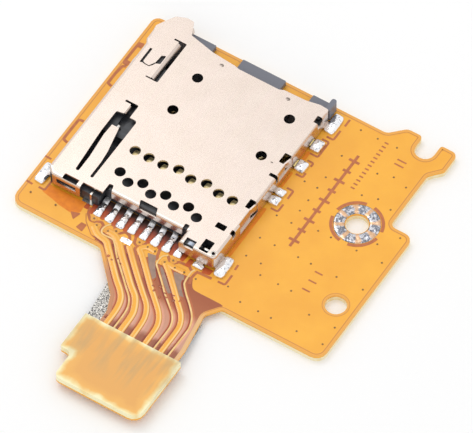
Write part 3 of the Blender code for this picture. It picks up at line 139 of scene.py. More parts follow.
def mixOf(tree, factor, first, second, blend="MIX"):
    return addNode(tree, "ShaderNodeMix", {
        "data_type": "RGBA", "blend_type": blend, "Factor": factor, "A": first, "B": second}).outputs[2]


def mottled(tree, scale, detail, stops, perMm=1.0):
    # a cloudy colour and the noise that it is made of
    noise = noiseOf(tree, scale, detail, perMm, 0.55)["Fac"]
    return rampOf(tree, noise, stops), noise


def dressed(material, colour, height, strength, distanceMm, roughness=None):
    # the material with its colour, a relief of the given height and, if there is one, its roughness
    tree = material.node_tree
    shader = tree.nodes["Principled BSDF"]
    bump = addNode(tree, "ShaderNodeBump", {
        "Strength": strength, "Distance": distanceMm * 0.001, "Height": height})
    sockets = {"Base Color": colour, "Roughness": roughness, "Normal": bump.outputs["Normal"]}
    for key, socket in sockets.items():
        if socket is not None:
            tree.links.new(socket, shader.inputs[key])
    return material


# shapes as arrays
def gridFaces(rows, columns):
    # quads between neighbouring rows, whose last column joins the first
    row = np.arange(rows - 1)[:, None]
    column = np.arange(columns)[None, :]
    first = row * columns + column
    second = row * columns + (column + 1) % columns
    return np.stack([first, second, second + columns, first + columns], -1).reshape(-1, 4)


def tubeFaces(rows, columns):
    # the quads and a cap on the first and the last row
    caps = [list(range(columns))[::-1], list(range((rows - 1) * columns, rows * columns))]
    return gridFaces(rows, columns).tolist() + caps


def ringFaces(rows, columns):
    # the quads and those that join the last row to the first
    last = (rows - 1) * columns
    column = np.arange(columns)
    after = (column + 1) % columns
    closing = np.stack([last + column, last + after, after, column], -1)
    return np.vstack([gridFaces(rows, columns), closing]).tolist()


def sweep(path, across, upward, section):
    # surface = path + across * section.x + upward * section.z, closed round the section and at both ends
    path = np.asarray(path, float)
    section = np.asarray(section, float)
    sideways = section[None, :, 0, None] * across[:, None, :]
    upwards = section[None, :, 1, None] * upward[:, None, :]
    return (path[:, None, :] + (sideways + upwards)).reshape(-1, 3), tubeFaces(len(path), len(section))


def directions(path, up):
    # across and upward for each path point: across = along x up, upward = across x along
    path = np.asarray(path, float)
    along = np.gradient(path, axis=0)
    along /= np.linalg.norm(along, axis=1, keepdims=True)
    across = np.cross(along, up)
    across /= np.linalg.norm(across, axis=1, keepdims=True)
    return across, np.cross(across, along)


def smoothPath(points, steps):
    # Catmull-Rom curve through the points, steps samples for each span
    points = np.asarray(points, float)
    padded = np.vstack([2 * points[0] - points[1], points, 2 * points[-1] - points[-2]])
    t = (np.arange(steps) / steps)[None, :, None]
    a, b, c, d = (padded[i:len(padded) - 3 + i, None, :] for i in range(4))
    curve = 0.5 * (2 * b + (c - a) * t + (2 * a - 5 * b + 4 * c - d) * t ** 2
                   + (3 * b - a - 3 * c + d) * t ** 3)
    return np.vstack([curve.reshape(-1, points.shape[1]), points[-1:]])


def roundSection(width, height, sides=16, power=2.0):
    # superellipse: |x / half width| ** power + |z / half height| ** power = 1
    turn = 2 * np.pi * np.arange(sides) / sides
    x = np.sign(np.cos(turn)) * np.abs(np.cos(turn)) ** (2 / power)
    z = np.sign(np.sin(turn)) * np.abs(np.sin(turn)) ** (2 / power)
    return np.stack([x * width / 2, z * height / 2], -1)


def rod(path, up, width, height, sides, power=2.0):
    return sweep(path, *directions(path, np.array(up, float)), roundSection(width, height, sides, power))


def circle(x, y, radius, turn):
    return np.stack([x + radius * np.cos(turn), y + radius * np.sin(turn)], -1)


def joined(pieces):
    points = []
    faces = []
    start = 0
    for piecePoints, pieceFaces in pieces:
        points.append(piecePoints)
        faces += [[index + start for index in face] for face in pieceFaces]
        start += len(piecePoints)
    return np.vstack(points), faces


def putMesh(name, shape, material, body, uv=None, angle=40.0):
    points, faces = shape
    mesh = bpy.data.meshes.new(name)
    mesh.from_pydata(toMetres(points).tolist(), [], faces)
    mesh.materials.append(material)
    mesh.shade_smooth()
    mesh.set_sharp_from_angle(angle=math.radians(angle))
    if uv is not None:
        layer = mesh.uv_layers.new(name="along")
        corners = np.zeros(len(mesh.loops), dtype=np.int32)
        mesh.loops.foreach_get("vertex_index", corners)
        layer.uv.foreach_set("vector", uv[corners].astype(np.float32).ravel())
    mesh.validate()
    piece = bpy.data.objects.new(name, mesh)
    bpy.context.scene.collection.objects.link(piece)
    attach(piece, body)
    return piece


def putFilm(name, shape, material, uv=None, angle=40.0):
    # detail that lies on the board's film
    return putMesh(name, shape, material, "board", uv, angle)


def tailRise(y):
    # height of the tail's film: a smooth step along its climb
    share = np.clip((tailClimb["start"] - np.asarray(y, float)) / tailClimb["length"], 0, 1)
    return tailClimb["height"] * share * share * (3 - 2 * share)


# materials
def polyimideFilm():
    # amber polyimide film, laminated hot over copper: golden and glossy, with faint cloudiness and a ripple
    material, tree = newMaterial("polyimide film over copper", {
        "Base Color": "#F8B53C", "Roughness": 0.36, "IOR": 1.6})
    cloud, _ = mottled(tree, 0.35, 3.0, [(0.35, "#FBB42C"), (0.65, "#F5AB26")])
    grain = noiseOf(tree, 9.0, 2.0)
    colour = mixOf(tree, 0.04, cloud, grain["Color"], "OVERLAY")
    gloss = rangeOf(tree, grain["Fac"], wanted=(0.28, 0.42))
    return dressed(material, colour, noiseOf(tree, 1.6, 3.0)["Fac"], 0.25, 0.02, gloss)


def etchedFilm(name, light, dark, roughness):
    # polyimide where the copper is etched away: brown, since the light comes back through two films
    material, tree = newMaterial(name, {"Base Color": light, "Roughness": roughness, "IOR": 1.6})
    colour, noise = mottled(tree, 2.2, 3.0, [(0.35, light), (0.68, dark)])
    return dressed(material, colour, noise, 0.3, 0.01)


def rimFilm():
    # the border past the copper: v across the band runs from the cut edge (0) to the copper (1); the pale
    # cream at the cut edge is a painted highlight
    material, tree = newMaterial("polyimide border, die cut", {
        "Base Color": "#E9A342", "Roughness": 0.35, "IOR": 1.6, "Coat Weight": 0.2})
    edge = rampOf(tree, axesOf(tree, "UV")["Y"], [
        (0.0, "#EFBE62"), (0.12, "#E9A034"), (0.62, "#F3AB38"), (0.72, "#CC7E20"), (0.84, "#CC7E20"),
        (0.96, "#F8B53C")])
    # off the stiffener the border is bare film: dull brown on the left, pale amber on the right
    bare = rampOf(tree, fadeOf(tree, "X", 10.0, 13.5), [(0.0, "#BE8060"), (1.0, "#E8BC84")])
    below = fadeOf(tree, "Y", -2.6, -3.5, 0.0, 0.85)
    return dressed(material, mixOf(tree, below, edge, bare), noiseOf(tree, 5.0, 2.0)["Fac"], 0.2, 0.01)


def copperTrace():
    # copper under amber film: bright gold, raised by the copper's thickness, with painted shade on its flanks
    # and a painted highlight on its shoulder
    material, tree = newMaterial("polyimide film over a copper trace", {
        "Base Color": "#F8B22E", "Roughness": 0.2, "IOR": 1.6, "Coat Weight": 0.4, "Coat Roughness": 0.1})
    cloud, noise = mottled(tree, 0.8, 3.0, [(0.3, "#FBB628"), (0.7, "#F4A41C")])
    # v runs across a trace: painted shade on one flank, the flat top, a painted highlight on the shoulder and
    # painted shade on the far flank
    paintedFlankLight = rampOf(tree, axesOf(tree, "UV")["Y"], [
        (0.0, "#C06A18"), (0.14, "#F6AC22"), (0.58, "#FBB42C"), (0.74, "#FFE0A4"), (0.86, "#F6BE60"),
        (1.0, "#9A4210")])
    # the painted shade and highlight grow stronger down the tail
    share = fadeOf(tree, "Y", -1.2, -3.2, 0.25, 0.9)
    return dressed(material, mixOf(tree, share, cloud, paintedFlankLight), noise, 0.2, 0.02)


def stampedSteel():
    # stainless steel strip, bright rolled and stamped: nearly white, with faint rolling lines along y and a
    # slight cloud from the tool; rolling lines are 0.02 mm apart, drawn at 0.09 mm so that they show
    material, tree = newMaterial("stainless steel, rolled and stamped", {
        "Base Color": "#E6D8CF", "Metallic": 1.0, "Roughness": 0.26})
    cloud, _ = mottled(tree, 0.5, 3.0, [(0.3, "#E2D3C9"), (0.7, "#DDCEC3")])
    rolling = noiseOf(tree, 1.0, 2.0, (11.0, 0.35, 11.0))
    speck = noiseOf(tree, 14.0, 1.0)["Fac"]
    colour = mixOf(tree, 0.06, cloud, rolling["Color"], "MULTIPLY")
    relief = mathOf(tree, "ADD", rolling["Fac"], speck)
    return dressed(material, colour, relief, 0.08, 0.008, rangeOf(tree, speck, wanted=(0.2, 0.34)))


def reflowedSolder():
    # lead-free solder, reflowed: silvery, frozen in small facets, with grey grain and dark flux specks
    material, tree = newMaterial("lead-free solder, reflowed", {
        "Base Color": "#F4F4F5", "Metallic": 1.0, "Roughness": 0.2})
    cells = addNode(tree, "ShaderNodeTexVoronoi", {
        "Scale": 7.0, "Randomness": 1.0, "Vector": objectPlace(tree)})
    grain, noise = mottled(tree, 3.4, 4.0, [
        (0.30, "#8A8C94"), (0.36, "#C4C5CC"), (0.43, "#F0F0F2"), (0.60, "#F6F6F8"), (0.68, "#B4B5BC")])
    return dressed(material, grain, mathOf(tree, "ADD", cells.outputs["Distance"], noise), 0.3, 0.05)


def lobedSolder(centreMm, lobes):
    # solder printed on the screw land in dots: silver lobes round the ring, with a peach painted reflection
    # of the amber film between them
    material, tree = newMaterial("lead-free solder, printed in dots", {
        "Base Color": "#E6E6E8", "Metallic": 1.0, "Roughness": 0.26})
    grain, noise = mottled(tree, 2.2, 4.0, [
        (0.36, "#E2E2E6"), (0.44, "#989AA3"), (0.50, "#5E606A"), (0.56, "#D6D6DB"), (0.66, "#8A8C96")])
    place = axesOf(tree)
    centre = toMetres([*centreMm, 0.0])
    sideX = mathOf(tree, "SUBTRACT", place["X"], float(centre[0]))
    sideY = mathOf(tree, "SUBTRACT", place["Y"], float(centre[1]))
    # lobe = cos(lobes * angle + 3 * noise)
    phase = mathOf(tree, "MULTIPLY", noise, 3.0)
    waves = mathOf(tree, "MULTIPLY_ADD", mathOf(tree, "ARCTAN2", sideY, sideX), float(lobes), phase)
    # painted reflection: peach between the silver lobes
    thin = rangeOf(tree, mathOf(tree, "COSINE", waves), (0.25, 0.85), (0.0, 0.8))
    return dressed(material, mixOf(tree, thin, grain, toLinear("#E4B588")), noise, 0.35, 0.05)


def metalStrip(name, light, dark):
    # thin plated or bare metal strip, bent and coined: satin, a little duller and rougher in clouds
    material, tree = newMaterial(name, {"Base Color": light, "Metallic": 1.0, "Roughness": 0.24})
    colour, noise = mottled(tree, 3.0, 3.0, [(0.35, light), (0.7, dark)])
    return dressed(material, colour, noise, 0.15, 0.01, rangeOf(tree, noise, wanted=(0.18, 0.34)))


def mouldedPolymer(name, base, streak, roughness, lipSheen):
    # liquid crystal polymer, injection moulded: satin, with short flow streaks and a glass-filled grain
    material, tree = newMaterial(name, {"Base Color": base, "Roughness": roughness, "IOR": 1.6})
    flow, _ = mottled(tree, 1.0, 4.0, [(0.4, base), (0.75, streak)], (0.8, 3.0, 3.0))
    # painted sheen: the entry lips are turned pale grey for the light their tops catch
    paleLitLips = fadeOf(tree, "Y", 14.6, 14.9, 0.0, lipSheen)
    grain = noiseOf(tree, 12.0, 2.0)["Fac"]
    gloss = rangeOf(tree, grain, wanted=(roughness - 0.08, roughness + 0.1))
    return dressed(material, mixOf(tree, paleLitLips, flow, toLinear("#7C7E8A")), grain, 0.25, 0.02, gloss)


def glassLaminate():
    # glass cloth laminate, sawn and pressed: cream, with the cloth's weave of 0.5 mm threads showing faintly
    material, tree = newMaterial("glass cloth laminate, pressed", {
        "Base Color": "#F3E0AE", "Roughness": 0.5, "IOR": 1.55})
    threads = [addNode(tree, "ShaderNodeTexWave", {
        "Scale": 0.63, "Distortion": 1.2, "Detail": 1.0, "bands_direction": side,
        "Vector": objectPlace(tree)}).outputs["Fac"] for side in ("X", "Y")]
    weave = mathOf(tree, "MAXIMUM", *threads)
    return dressed(material, rampOf(tree, weave, [(0.3, "#F3DFAC"), (0.9, "#F7E9C0")]), weave, 0.2, 0.02)


def clearLaminate():
    # thin laminate on the tail's end: translucent; a pale yellow painted highlight runs along its cut rim,
    # its middle takes the orange of the circuit under it, and the traces show through as soft grey streaks
    material, tree = newMaterial("thin laminate, translucent", {
        "Base Color": "#EFB76B", "Roughness": 0.42, "IOR": 1.55, "Coat Weight": 0.15})
    place = axesOf(tree)
    # axis, place of a side in mm and which side of it the plate lies on
    walls = ("X", 7.93, 1.0), ("X", 15.38, -1.0), ("Y", -12.66, 1.0), ("Y", -7.36, -1.0)
    reaches = [mathOf(tree, "MULTIPLY_ADD", place[axis], side, -side * metresAlong(axis, wall))
               for axis, wall, side in walls]
    notch = [mathOf(tree, "SUBTRACT", place[axis], metresAlong(axis, corner))
             for axis, corner in (("X", 8.83), ("Y", -10.46))]
    nearest = reaches[0]
    for reach in (*reaches[1:], mathOf(tree, "MAXIMUM", *notch)):
        nearest = mathOf(tree, "MINIMUM", nearest, reach)
    # depth = distance to the nearest side / 0.9 mm + noise - 0.5
    wander = noiseOf(tree, 0.8, 3.0)["Fac"]
    depth = mathOf(tree, "MULTIPLY", nearest, 1000.0 / 0.9)
    depth = mathOf(tree, "SUBTRACT", mathOf(tree, "ADD", depth, wander), 0.5)
    # painted highlight: pale yellow at the cut sides, fading to amber inward
    rim = rampOf(tree, depth, [(0.0, "#FBF3C4"), (0.16, "#F8DF9C"), (0.42, "#F3B65A"), (1.0, "#EAAB56")])
    streaks = noiseOf(tree, 1.0, 2.0, (1.7, 0.28, 1.0))["Fac"]
    upper = fadeOf(tree, "Y", -11.3, -9.6, 0.0, 0.55)
    amount = mathOf(tree, "MULTIPLY", rampOf(tree, streaks, [(0.42, 0.0), (0.62, 1.0)]), upper)
    return dressed(material, mixOf(tree, amount, rim, toLinear("#C0A06C")), wander, 0.25, 0.03)


def conductiveCloth():
    # metallised polyester cloth, woven of 0.1 mm yarn: bright silver knuckles with dark pores
    material, tree = newMaterial("metallised cloth, woven", {
        "Base Color": "#E9E9EA", "Metallic": 0.5, "Roughness": 0.5})
    cells = addNode(tree, "ShaderNodeTexVoronoi", {
        "Scale": 13.0, "Randomness": 0.9, "Vector": objectPlace(tree)})
    pores = mathOf(tree, "MULTIPLY_ADD", cells.outputs["Distance"], 0.6, noiseOf(tree, 11.0, 3.0)["Fac"])
    colour = rampOf(tree, pores, [(0.60, "#F1EFEA"), (0.78, "#C6C2BA"), (0.94, "#55555A")])
    return dressed(material, colour, pores, 0.35, 0.04)


def springWire():
    # hard-drawn stainless wire: bright, with drawing lines round a smooth skin
    material, tree = newMaterial("stainless wire, hard drawn", {
        "Base Color": "#D9D6D2", "Metallic": 1.0, "Roughness": 0.24})
    colour, noise = mottled(tree, 8.0, 2.0, [(0.3, "#E2DFDB"), (0.75, "#BFBBB6")])
    return dressed(material, colour, noise, 0.15, 0.008)


def underCoverShade():
    # bare film between the tails: orange-brown outside the cover, darkened by painted shade to nearly black
    # under it
    material, tree = newMaterial("bare polyimide in painted shade under the cover", {
        "Base Color": "#A33C08", "Roughness": 0.5, "IOR": 1.6})
    noise = noiseOf(tree, 3.0, 4.0)["Fac"]
    # painted shade: darker from the cover's front edge inward
    along = fadeOf(tree, "Y", -0.1, 1.5, -0.2, 0.8)
    colour = rampOf(tree, mathOf(tree, "MULTIPLY_ADD", noise, 0.5, along), [
        (0.1, "#C9560A"), (0.4, "#AA3E04"), (0.62, "#7C2804"), (0.84, "#2E1004")])
    return dressed(material, colour, noise, 0.5, 0.03)


def tailBareFilm():
    # bare film of the tail: brown over the stiffener, pinkish where light comes through it, hazy with glue
    material, tree = newMaterial("polyimide tail, bare", {
        "Base Color": "#C8805C", "Roughness": 0.5, "IOR": 1.6})
    noise = noiseOf(tree, 1.3, 4.0)["Fac"]
    along = fadeOf(tree, "Y", -1.4, -7.4, -0.04, 0.92)
    haze = rampOf(tree, mathOf(tree, "MULTIPLY_ADD", noise, 0.14, along), [
        (0.1, "#B85E2E"), (0.34, "#C46E3E"), (0.46, "#E8A484"), (0.8, "#EAAE94"), (0.87, "#AE6444")])
    # v of a strip laid along a trace: painted shade on its left, a painted highlight to its right
    paintedTraceShade = rampOf(tree, axesOf(tree, "UV")["Y"], [
        (0.0, "#E4E4E4"), (0.1, "#E2BE9C"), (0.19, "#BC6A2E"), (0.27, "#9C3A02"), (0.6, "#FFFFFF"),
        (0.8, "#FFFFFF"), (1.0, "#E4E4E4")])
    return dressed(material, mixOf(tree, 1.0, haze, paintedTraceShade, "MULTIPLY"), noise, 0.5, 0.04)


def platedContact():
    # spring strip: gold on the contact point, tin on the tail that is soldered
    material, tree = newMaterial("spring strip, gold tip and tinned tail", {
        "Base Color": "#E6CF93", "Metallic": 1.0, "Roughness": 0.5})
    noise = noiseOf(tree, 4.0, 3.0)["Fac"]
    gold = rampOf(tree, noise, [(0.35, "#FFF0C0"), (0.7, "#F0DA9E")])
    tin = rampOf(tree, noise, [(0.4, "#F3F3F4"), (0.7, "#A9AAB0")])
    share = fadeOf(tree, "Y", 1.7, 2.1)
    return dressed(material, mixOf(tree, share, tin, gold), noise, 0.2, 0.02)


film = polyimideFilm()
bareBrown = etchedFilm("polyimide, copper etched away", "#C46E38", "#B2602E", 0.5)
underCoverFilm = underCoverShade()
border = rimFilm()
traceGold = copperTrace()
steel = stampedSteel()
solder = reflowedSolder()
landSolder = lobedSolder(landMiddle, 8)
gilt = metalStrip("gold plate on spring strip", "#E6CF93", "#CDB06C")
tinned = metalStrip("tin plate on spring strip", "#EDEBE6", "#D2CFC8")
blackPolymer = mouldedPolymer("liquid crystal polymer, black, moulded", "#26282D", "#393C43", 0.42, 0.75)
ivoryPolymer = mouldedPolymer("liquid crystal polymer, ivory, moulded", "#E3DAC4", "#D5CAB0", 0.45, 0.0)
laminate = glassLaminate()
endLaminate = clearLaminate()
cloth = conductiveCloth()
wire = springWire()
tailFilm = tailBareFilm()
shadedFilm = etchedFilm("polyimide in painted shade between the traces", "#A88672", "#8F7464", 0.45)
# painted shadow and reflection of the shell, laid as deep amber on the film
shellShadeAmber = etchedFilm("polyimide film, deep amber beside the shell", "#F48C00", "#E67C00", 0.6)
viaHole = etchedFilm("plated through hole, filled", "#93641E", "#6E4A16", 0.4)
contactGold = platedContact()
glintGold = metalStrip("gold plate, painted glint", "#FFF0C0", "#EBD294")
dentShadeSteel = metalStrip("stainless steel, painted shade of dents", "#A2968E", "#7A706A")
tabShadeSteel = metalStrip("stainless steel, bent tab in painted shade", "#AEB6C2", "#8C94A2")
# fine traces are pale all over: a painted highlight in place of the wide traces' lit shoulder
litFineTrace = etchedFilm("polyimide film over a fine trace", "#F9D592", "#F0BE6C", 0.3)
glue = etchedFilm("adhesive squeezed out of the edge", "#C9703A", "#8C3E16", 0.12)
print("materials made")

looks = {
    "flex_circuit": film, "board_stiffener": laminate, "tail_stiffener": endLaminate, "ground_cloth": cloth,
    "screw_land": landSolder, "plug_body": ivoryPolymer, "shell": steel, "socket_housing": blackPolymer,
    "slider": blackPolymer, "cam_pin": wire, "eject_spring": wire, "switch_blade": gilt, "switch_fixed": gilt,
    "ground_tab": tinned}
for name, node in nodes.items():
    node.data.materials.clear()
    node.data.materials.append(looks.get(name, solder if name.startswith("solder") else gilt))
print("frame dressed")

# flat detail on the film: bands, lines and lands a few hundredths of a millimetre high
sideShare = 0.48  # the most of a side that one corner's arc takes
leastMitre = 0.6  # keeps the outside of a sharp corner from reaching far out


def roundedLoop(corners, closed=True, steps=6):
    # each (x, y, radius) corner becomes an arc tangent to both of its sides
    corners = np.asarray(corners, float)
    count = len(corners)
    points = []
    for index in range(count):
        here = corners[index, :2]
        radius = corners[index, 2]
        if radius <= 0 or (not closed and index in (0, count - 1)):
            points.append(here[None])
            continue
        before = corners[index - 1, :2] - here
        after = corners[(index + 1) % count, :2] - here
        lengths = np.linalg.norm(before), np.linalg.norm(after)
        before = before / lengths[0]
        after = after / lengths[1]
        half = np.arccos(np.clip(before @ after, -1, 1)) / 2
        reach = min(radius / np.tan(half), sideShare * lengths[0], sideShare * lengths[1])
        centre = here + (before + after) / np.linalg.norm(before + after) * reach / np.cos(half)
        first = here + before * reach - centre
        last = here + after * reach - centre
        span = np.pi - 2 * half
        share = np.linspace(0, 1, steps + 1)[:, None]
        arc = (first * np.sin((1 - share) * span) + last * np.sin(share * span)) / np.sin(span)
        points.append(centre + arc)
    return np.vstack(points)


def mitres(path, closed=False):
    # unit left normals of a flat path, lengthened at corners so that a band keeps its width
    if closed:
        ends = np.vstack([path[-1:], path, path[:1]])
    else:
        ends = np.vstack([2 * path[:1] - path[1:2], path, 2 * path[-1:] - path[-2:-1]])
    steps = np.diff(ends, axis=0)
    steps /= np.linalg.norm(steps, axis=1, keepdims=True)
    normals = np.stack([-steps[:, 1], steps[:, 0]], -1)
    halves = normals[:-1] + normals[1:]
    halves /= np.linalg.norm(halves, axis=1, keepdims=True)
    return halves / np.maximum(leastMitre, (halves * normals[1:]).sum(1))[:, None]


def onFilm(flat, heights):
    # each row: flat points at z = tailRise(y) + height, then back along the underside
    back = flat[:, ::-1]
    top = np.dstack([flat, tailRise(flat[:, :, 1]) + heights])
    under = np.dstack([back, tailRise(back[:, :, 1]) + underFilm])
    return np.concatenate([top, under], 1).reshape(-1, 3)


def band(path, offsets, heights, closed=False):
    # surface over a flat path: the point at offset o lies at path + left normal * o
    path = np.asarray(path, float)
    offsets = np.asarray(offsets, float)
    flat = path[:, None, :] + mitres(path, closed)[:, None, :] * offsets[None, :, None]
    rows = len(path)
    columns = 2 * len(offsets)
    faces = ringFaces(rows, columns) if closed else tubeFaces(rows, columns)
    shares = np.concatenate([np.linspace(0, 1, len(offsets)), np.linspace(1, 0, len(offsets))])
    uv = np.stack([np.repeat(np.linspace(0, 1, rows), columns), np.tile(shares, rows)], -1)
    return (onFilm(flat, heights), [face[::-1] for face in faces]), uv


def lines(paths, width, height=0.010, corner=0.0):
    # flat etched or raised lines of one width; corner rounds their bends
    pieces = []
    for path in paths:
        if corner:
            path = roundedLoop([(x, y, corner) for x, y in path], False, 4)
        pieces.append(band(path, [-width / 2, width / 2], height)[0])
    return joined(pieces)


def slab(outline, height):
    # flat patch with upright sides inside an outline
    lift = tailRise(outline[:, 1])
    levels = [np.column_stack([outline, lift + level]) for level in (underFilm, height)]
    return np.vstack(levels), tubeFaces(2, len(outline))


def disc(x, y, radius, height, sides=20):
    turn = 2 * np.pi * np.arange(sides) / sides
    return slab(circle(x, y, radius, turn), height)


def plate(corners, height, radius=0.0):
    # patch with rounded corners; its faces are turned where the corners run clockwise
    loop = roundedLoop([(x, y, radius) for x, y in corners], True, 4)
    points, faces = slab(loop, height)
    area = np.sum(loop[:, 0] * np.roll(loop[:, 1], -1) - np.roll(loop[:, 0], -1) * loop[:, 1])
    return points, faces if area > 0 else [face[::-1] for face in faces]


def plates(outlines, height, radius):
    return joined([plate(corners, height, radius) for corners in outlines])


coatShape = {"rows": 12, "columns": 32, "corner": 0.42, "base": 0.006, "sway": 0.04}


def solderCoat(left, right, front, back, height, number, taper=0.0):
    # upper half of a superellipsoid whose rings shrink by sqrt(1 - lift**3) while the height grows by
    # lift**0.8; low waves run over it, other ones for each number, and taper draws its far end in
    lift = np.linspace(0, 1, coatShape["rows"])[:, None]
    turn = 2 * np.pi * np.arange(coatShape["columns"])[None, :] / coatShape["columns"]
    reach = (1 - lift ** 3) ** 0.5
    u = np.sign(np.cos(turn)) * np.abs(np.cos(turn)) ** coatShape["corner"] * reach
    v = np.sign(np.sin(turn)) * np.abs(np.sin(turn)) ** coatShape["corner"] * reach
    phase = number * 1.7
    wave = 0.07 * np.sin(5 * u + phase) * np.cos(4 * v - phase) + 0.05 * np.sin(9 * v + 2 * phase)
    z = height * lift ** 0.8 * (1 + wave)
    drawn = u * (1 - taper * (v + 1) / 2)
    x = (left + right) / 2 + drawn * (right - left) / 2 * (1 + coatShape["sway"] * np.sin(3 * turn + phase))
    y = (front + back) / 2 + v * (back - front) / 2 * (1 + coatShape["sway"] * np.cos(2 * turn + phase))
    points = np.stack([x, y, z + coatShape["base"]], -1).reshape(-1, 3)
    return points, tubeFaces(coatShape["rows"], coatShape["columns"])


boardOutline = [  # x, y and corner radius from the tail's right side round to its left side
    (14.95, -7.34, 0), (14.95, -6.2, 0.8), (14.45, -3.008, 0.6), (15.2, -2.0, 0.3), (22.85, -2.0, 0.8),
    (22.85, 9.7, 0.6), (21.0, 9.7, 0.45), (21.0, 14.5, 0.5), (21.8, 15.4, 0.3), (21.8, 17.1, 0.4),
    (20.505, 17.1, 0.2), (20.505, 15.5, 0.725), (19.055, 15.5, 0.725), (19.055, 17.1, 0.25),
    (17.9, 17.1, 0.6), (16.85, 16.05, 0.6), (-1.5, 16.05, 0.55), (-1.5, -2.0, 0.8), (5.6, -2.0, 0.5),
    (8.2975, -4.898, 0.9), (8.85, -6.2, 0.8), (8.85, -7.34, 0)]
rim = {"inset": 0.012, "width": 0.27, "height": 0.008, "step": 0.35}
loop = roundedLoop(boardOutline, False, 8)
dense = np.vstack([np.linspace(a, b, max(2, int(np.linalg.norm(b - a) / rim["step"]) + 1))[:-1]
                   for a, b in zip(loop[:-1], loop[1:])] + [loop[-1:]])
shape, uv = band(dense, np.linspace(rim["inset"], rim["inset"] + rim["width"], 9), rim["height"])
putFilm("boardRim", shape, border, uv)
peg = {"middle": (21.35, 2.35), "radius": 0.75, "width": 0.21}
ring = circle(*peg["middle"], peg["radius"], -2 * np.pi * np.arange(48) / 48)
shape, uv = band(ring, np.linspace(rim["inset"], peg["width"], 5), rim["height"], True)
putFilm("pegRim", shape, border, uv)

etched = {"line": 0.15, "wide": 0.2, "fine": 0.11, "height": 0.01, "upper": 0.013}
brackets = [
    [(14.2, 15.66), (14.2, 15.02)], [(14.14, 14.56), (14.14, 13.66), (13.6, 13.66)],
    [(13.45, 13.33), (14.0, 13.33), (14.0, 11.9), (13.38, 11.9)],
    [(13.55, 11.32), (14.02, 11.32), (14.02, 10.98)], [(14.02, 10.36), (14.02, 9.95), (13.48, 9.95)],
    [(13.58, 8.67), (14.1, 8.67), (14.1, 7.93)], [(14.1, 7.4), (14.1, 6.7), (13.55, 6.7)],
    [(14.18, 1.62), (14.2, 1.17)], [(14.28, 0.71), (14.28, -0.2), (13.74, -0.22)],
    [(13.27, -0.25), (12.1, -0.28)], [(-1.46, -0.07), (-0.96, -0.1)],
    [(0.0, 0.83), (0.0, -0.08), (-0.48, -0.08)], [(-1.5, 2.29), (-1.0, 2.28)]]
leftPads = [
    [(-0.85, 13.58), (-1.18, 13.5), (-1.22, 12.9), (-1.22, 11.6), (-0.85, 11.55)],
    [(-0.9, 11.42), (-1.12, 11.3), (-1.2, 10.5), (-1.2, 9.6), (-0.85, 9.5)],
    [(-0.85, 6.05), (-1.2, 6.02), (-1.22, 5.2), (-1.22, 4.1), (-0.85, 4.0)]]
patches = [
    [(-1.25, 11.5), (-0.85, 11.5), (-0.85, 11.9), (-1.25, 11.9)],
    [(-1.25, 13.2), (-0.85, 13.2), (-0.85, 13.62), (-1.25, 13.62)],
    [(2.39, -0.63), (2.89, -1.1), (3.09, -0.4)], [(3.38, -1.5), (3.92, -1.62), (3.92, -0.98), (3.5, -0.98)]]
putFilm("etchedBrackets", lines(brackets, etched["line"], etched["height"], 0.12), bareBrown)
putFilm("etchedPads", lines(leftPads, etched["wide"], etched["height"], 0.14), bareBrown)
putFilm("etchedPatches", plates(patches, etched["upper"], 0.05), bareBrown)


# plain etched bars and a scale stand where the board carries its printing; they say nothing
def levelLines(left, right, places):
    return [[(left, y), (right, y)] for y in places]


bars = [[(15.95, y), (16.55, y)] if place % 2 else [(15.85, y), (16.65, y)]
        for place, y in enumerate(5.3 + 0.95 * np.arange(9))]
ticks = levelLines(17.15, 17.45, np.arange(11.0, 15.6, 0.36))
crosses = levelLines(18.6, 19.3, (14.2, 14.6)) + levelLines(18.75, 19.35, (2.3, 3.1, 3.9))
putFilm("etchedBars", lines(bars, etched["wide"]), bareBrown)
putFilm("etchedSpine", lines([[(16.25, 4.75), (16.25, 13.45)]], etched["wide"], etched["upper"]), bareBrown)
putFilm("etchedScale", lines(ticks + crosses, etched["fine"]), bareBrown)
print("board lines drawn")

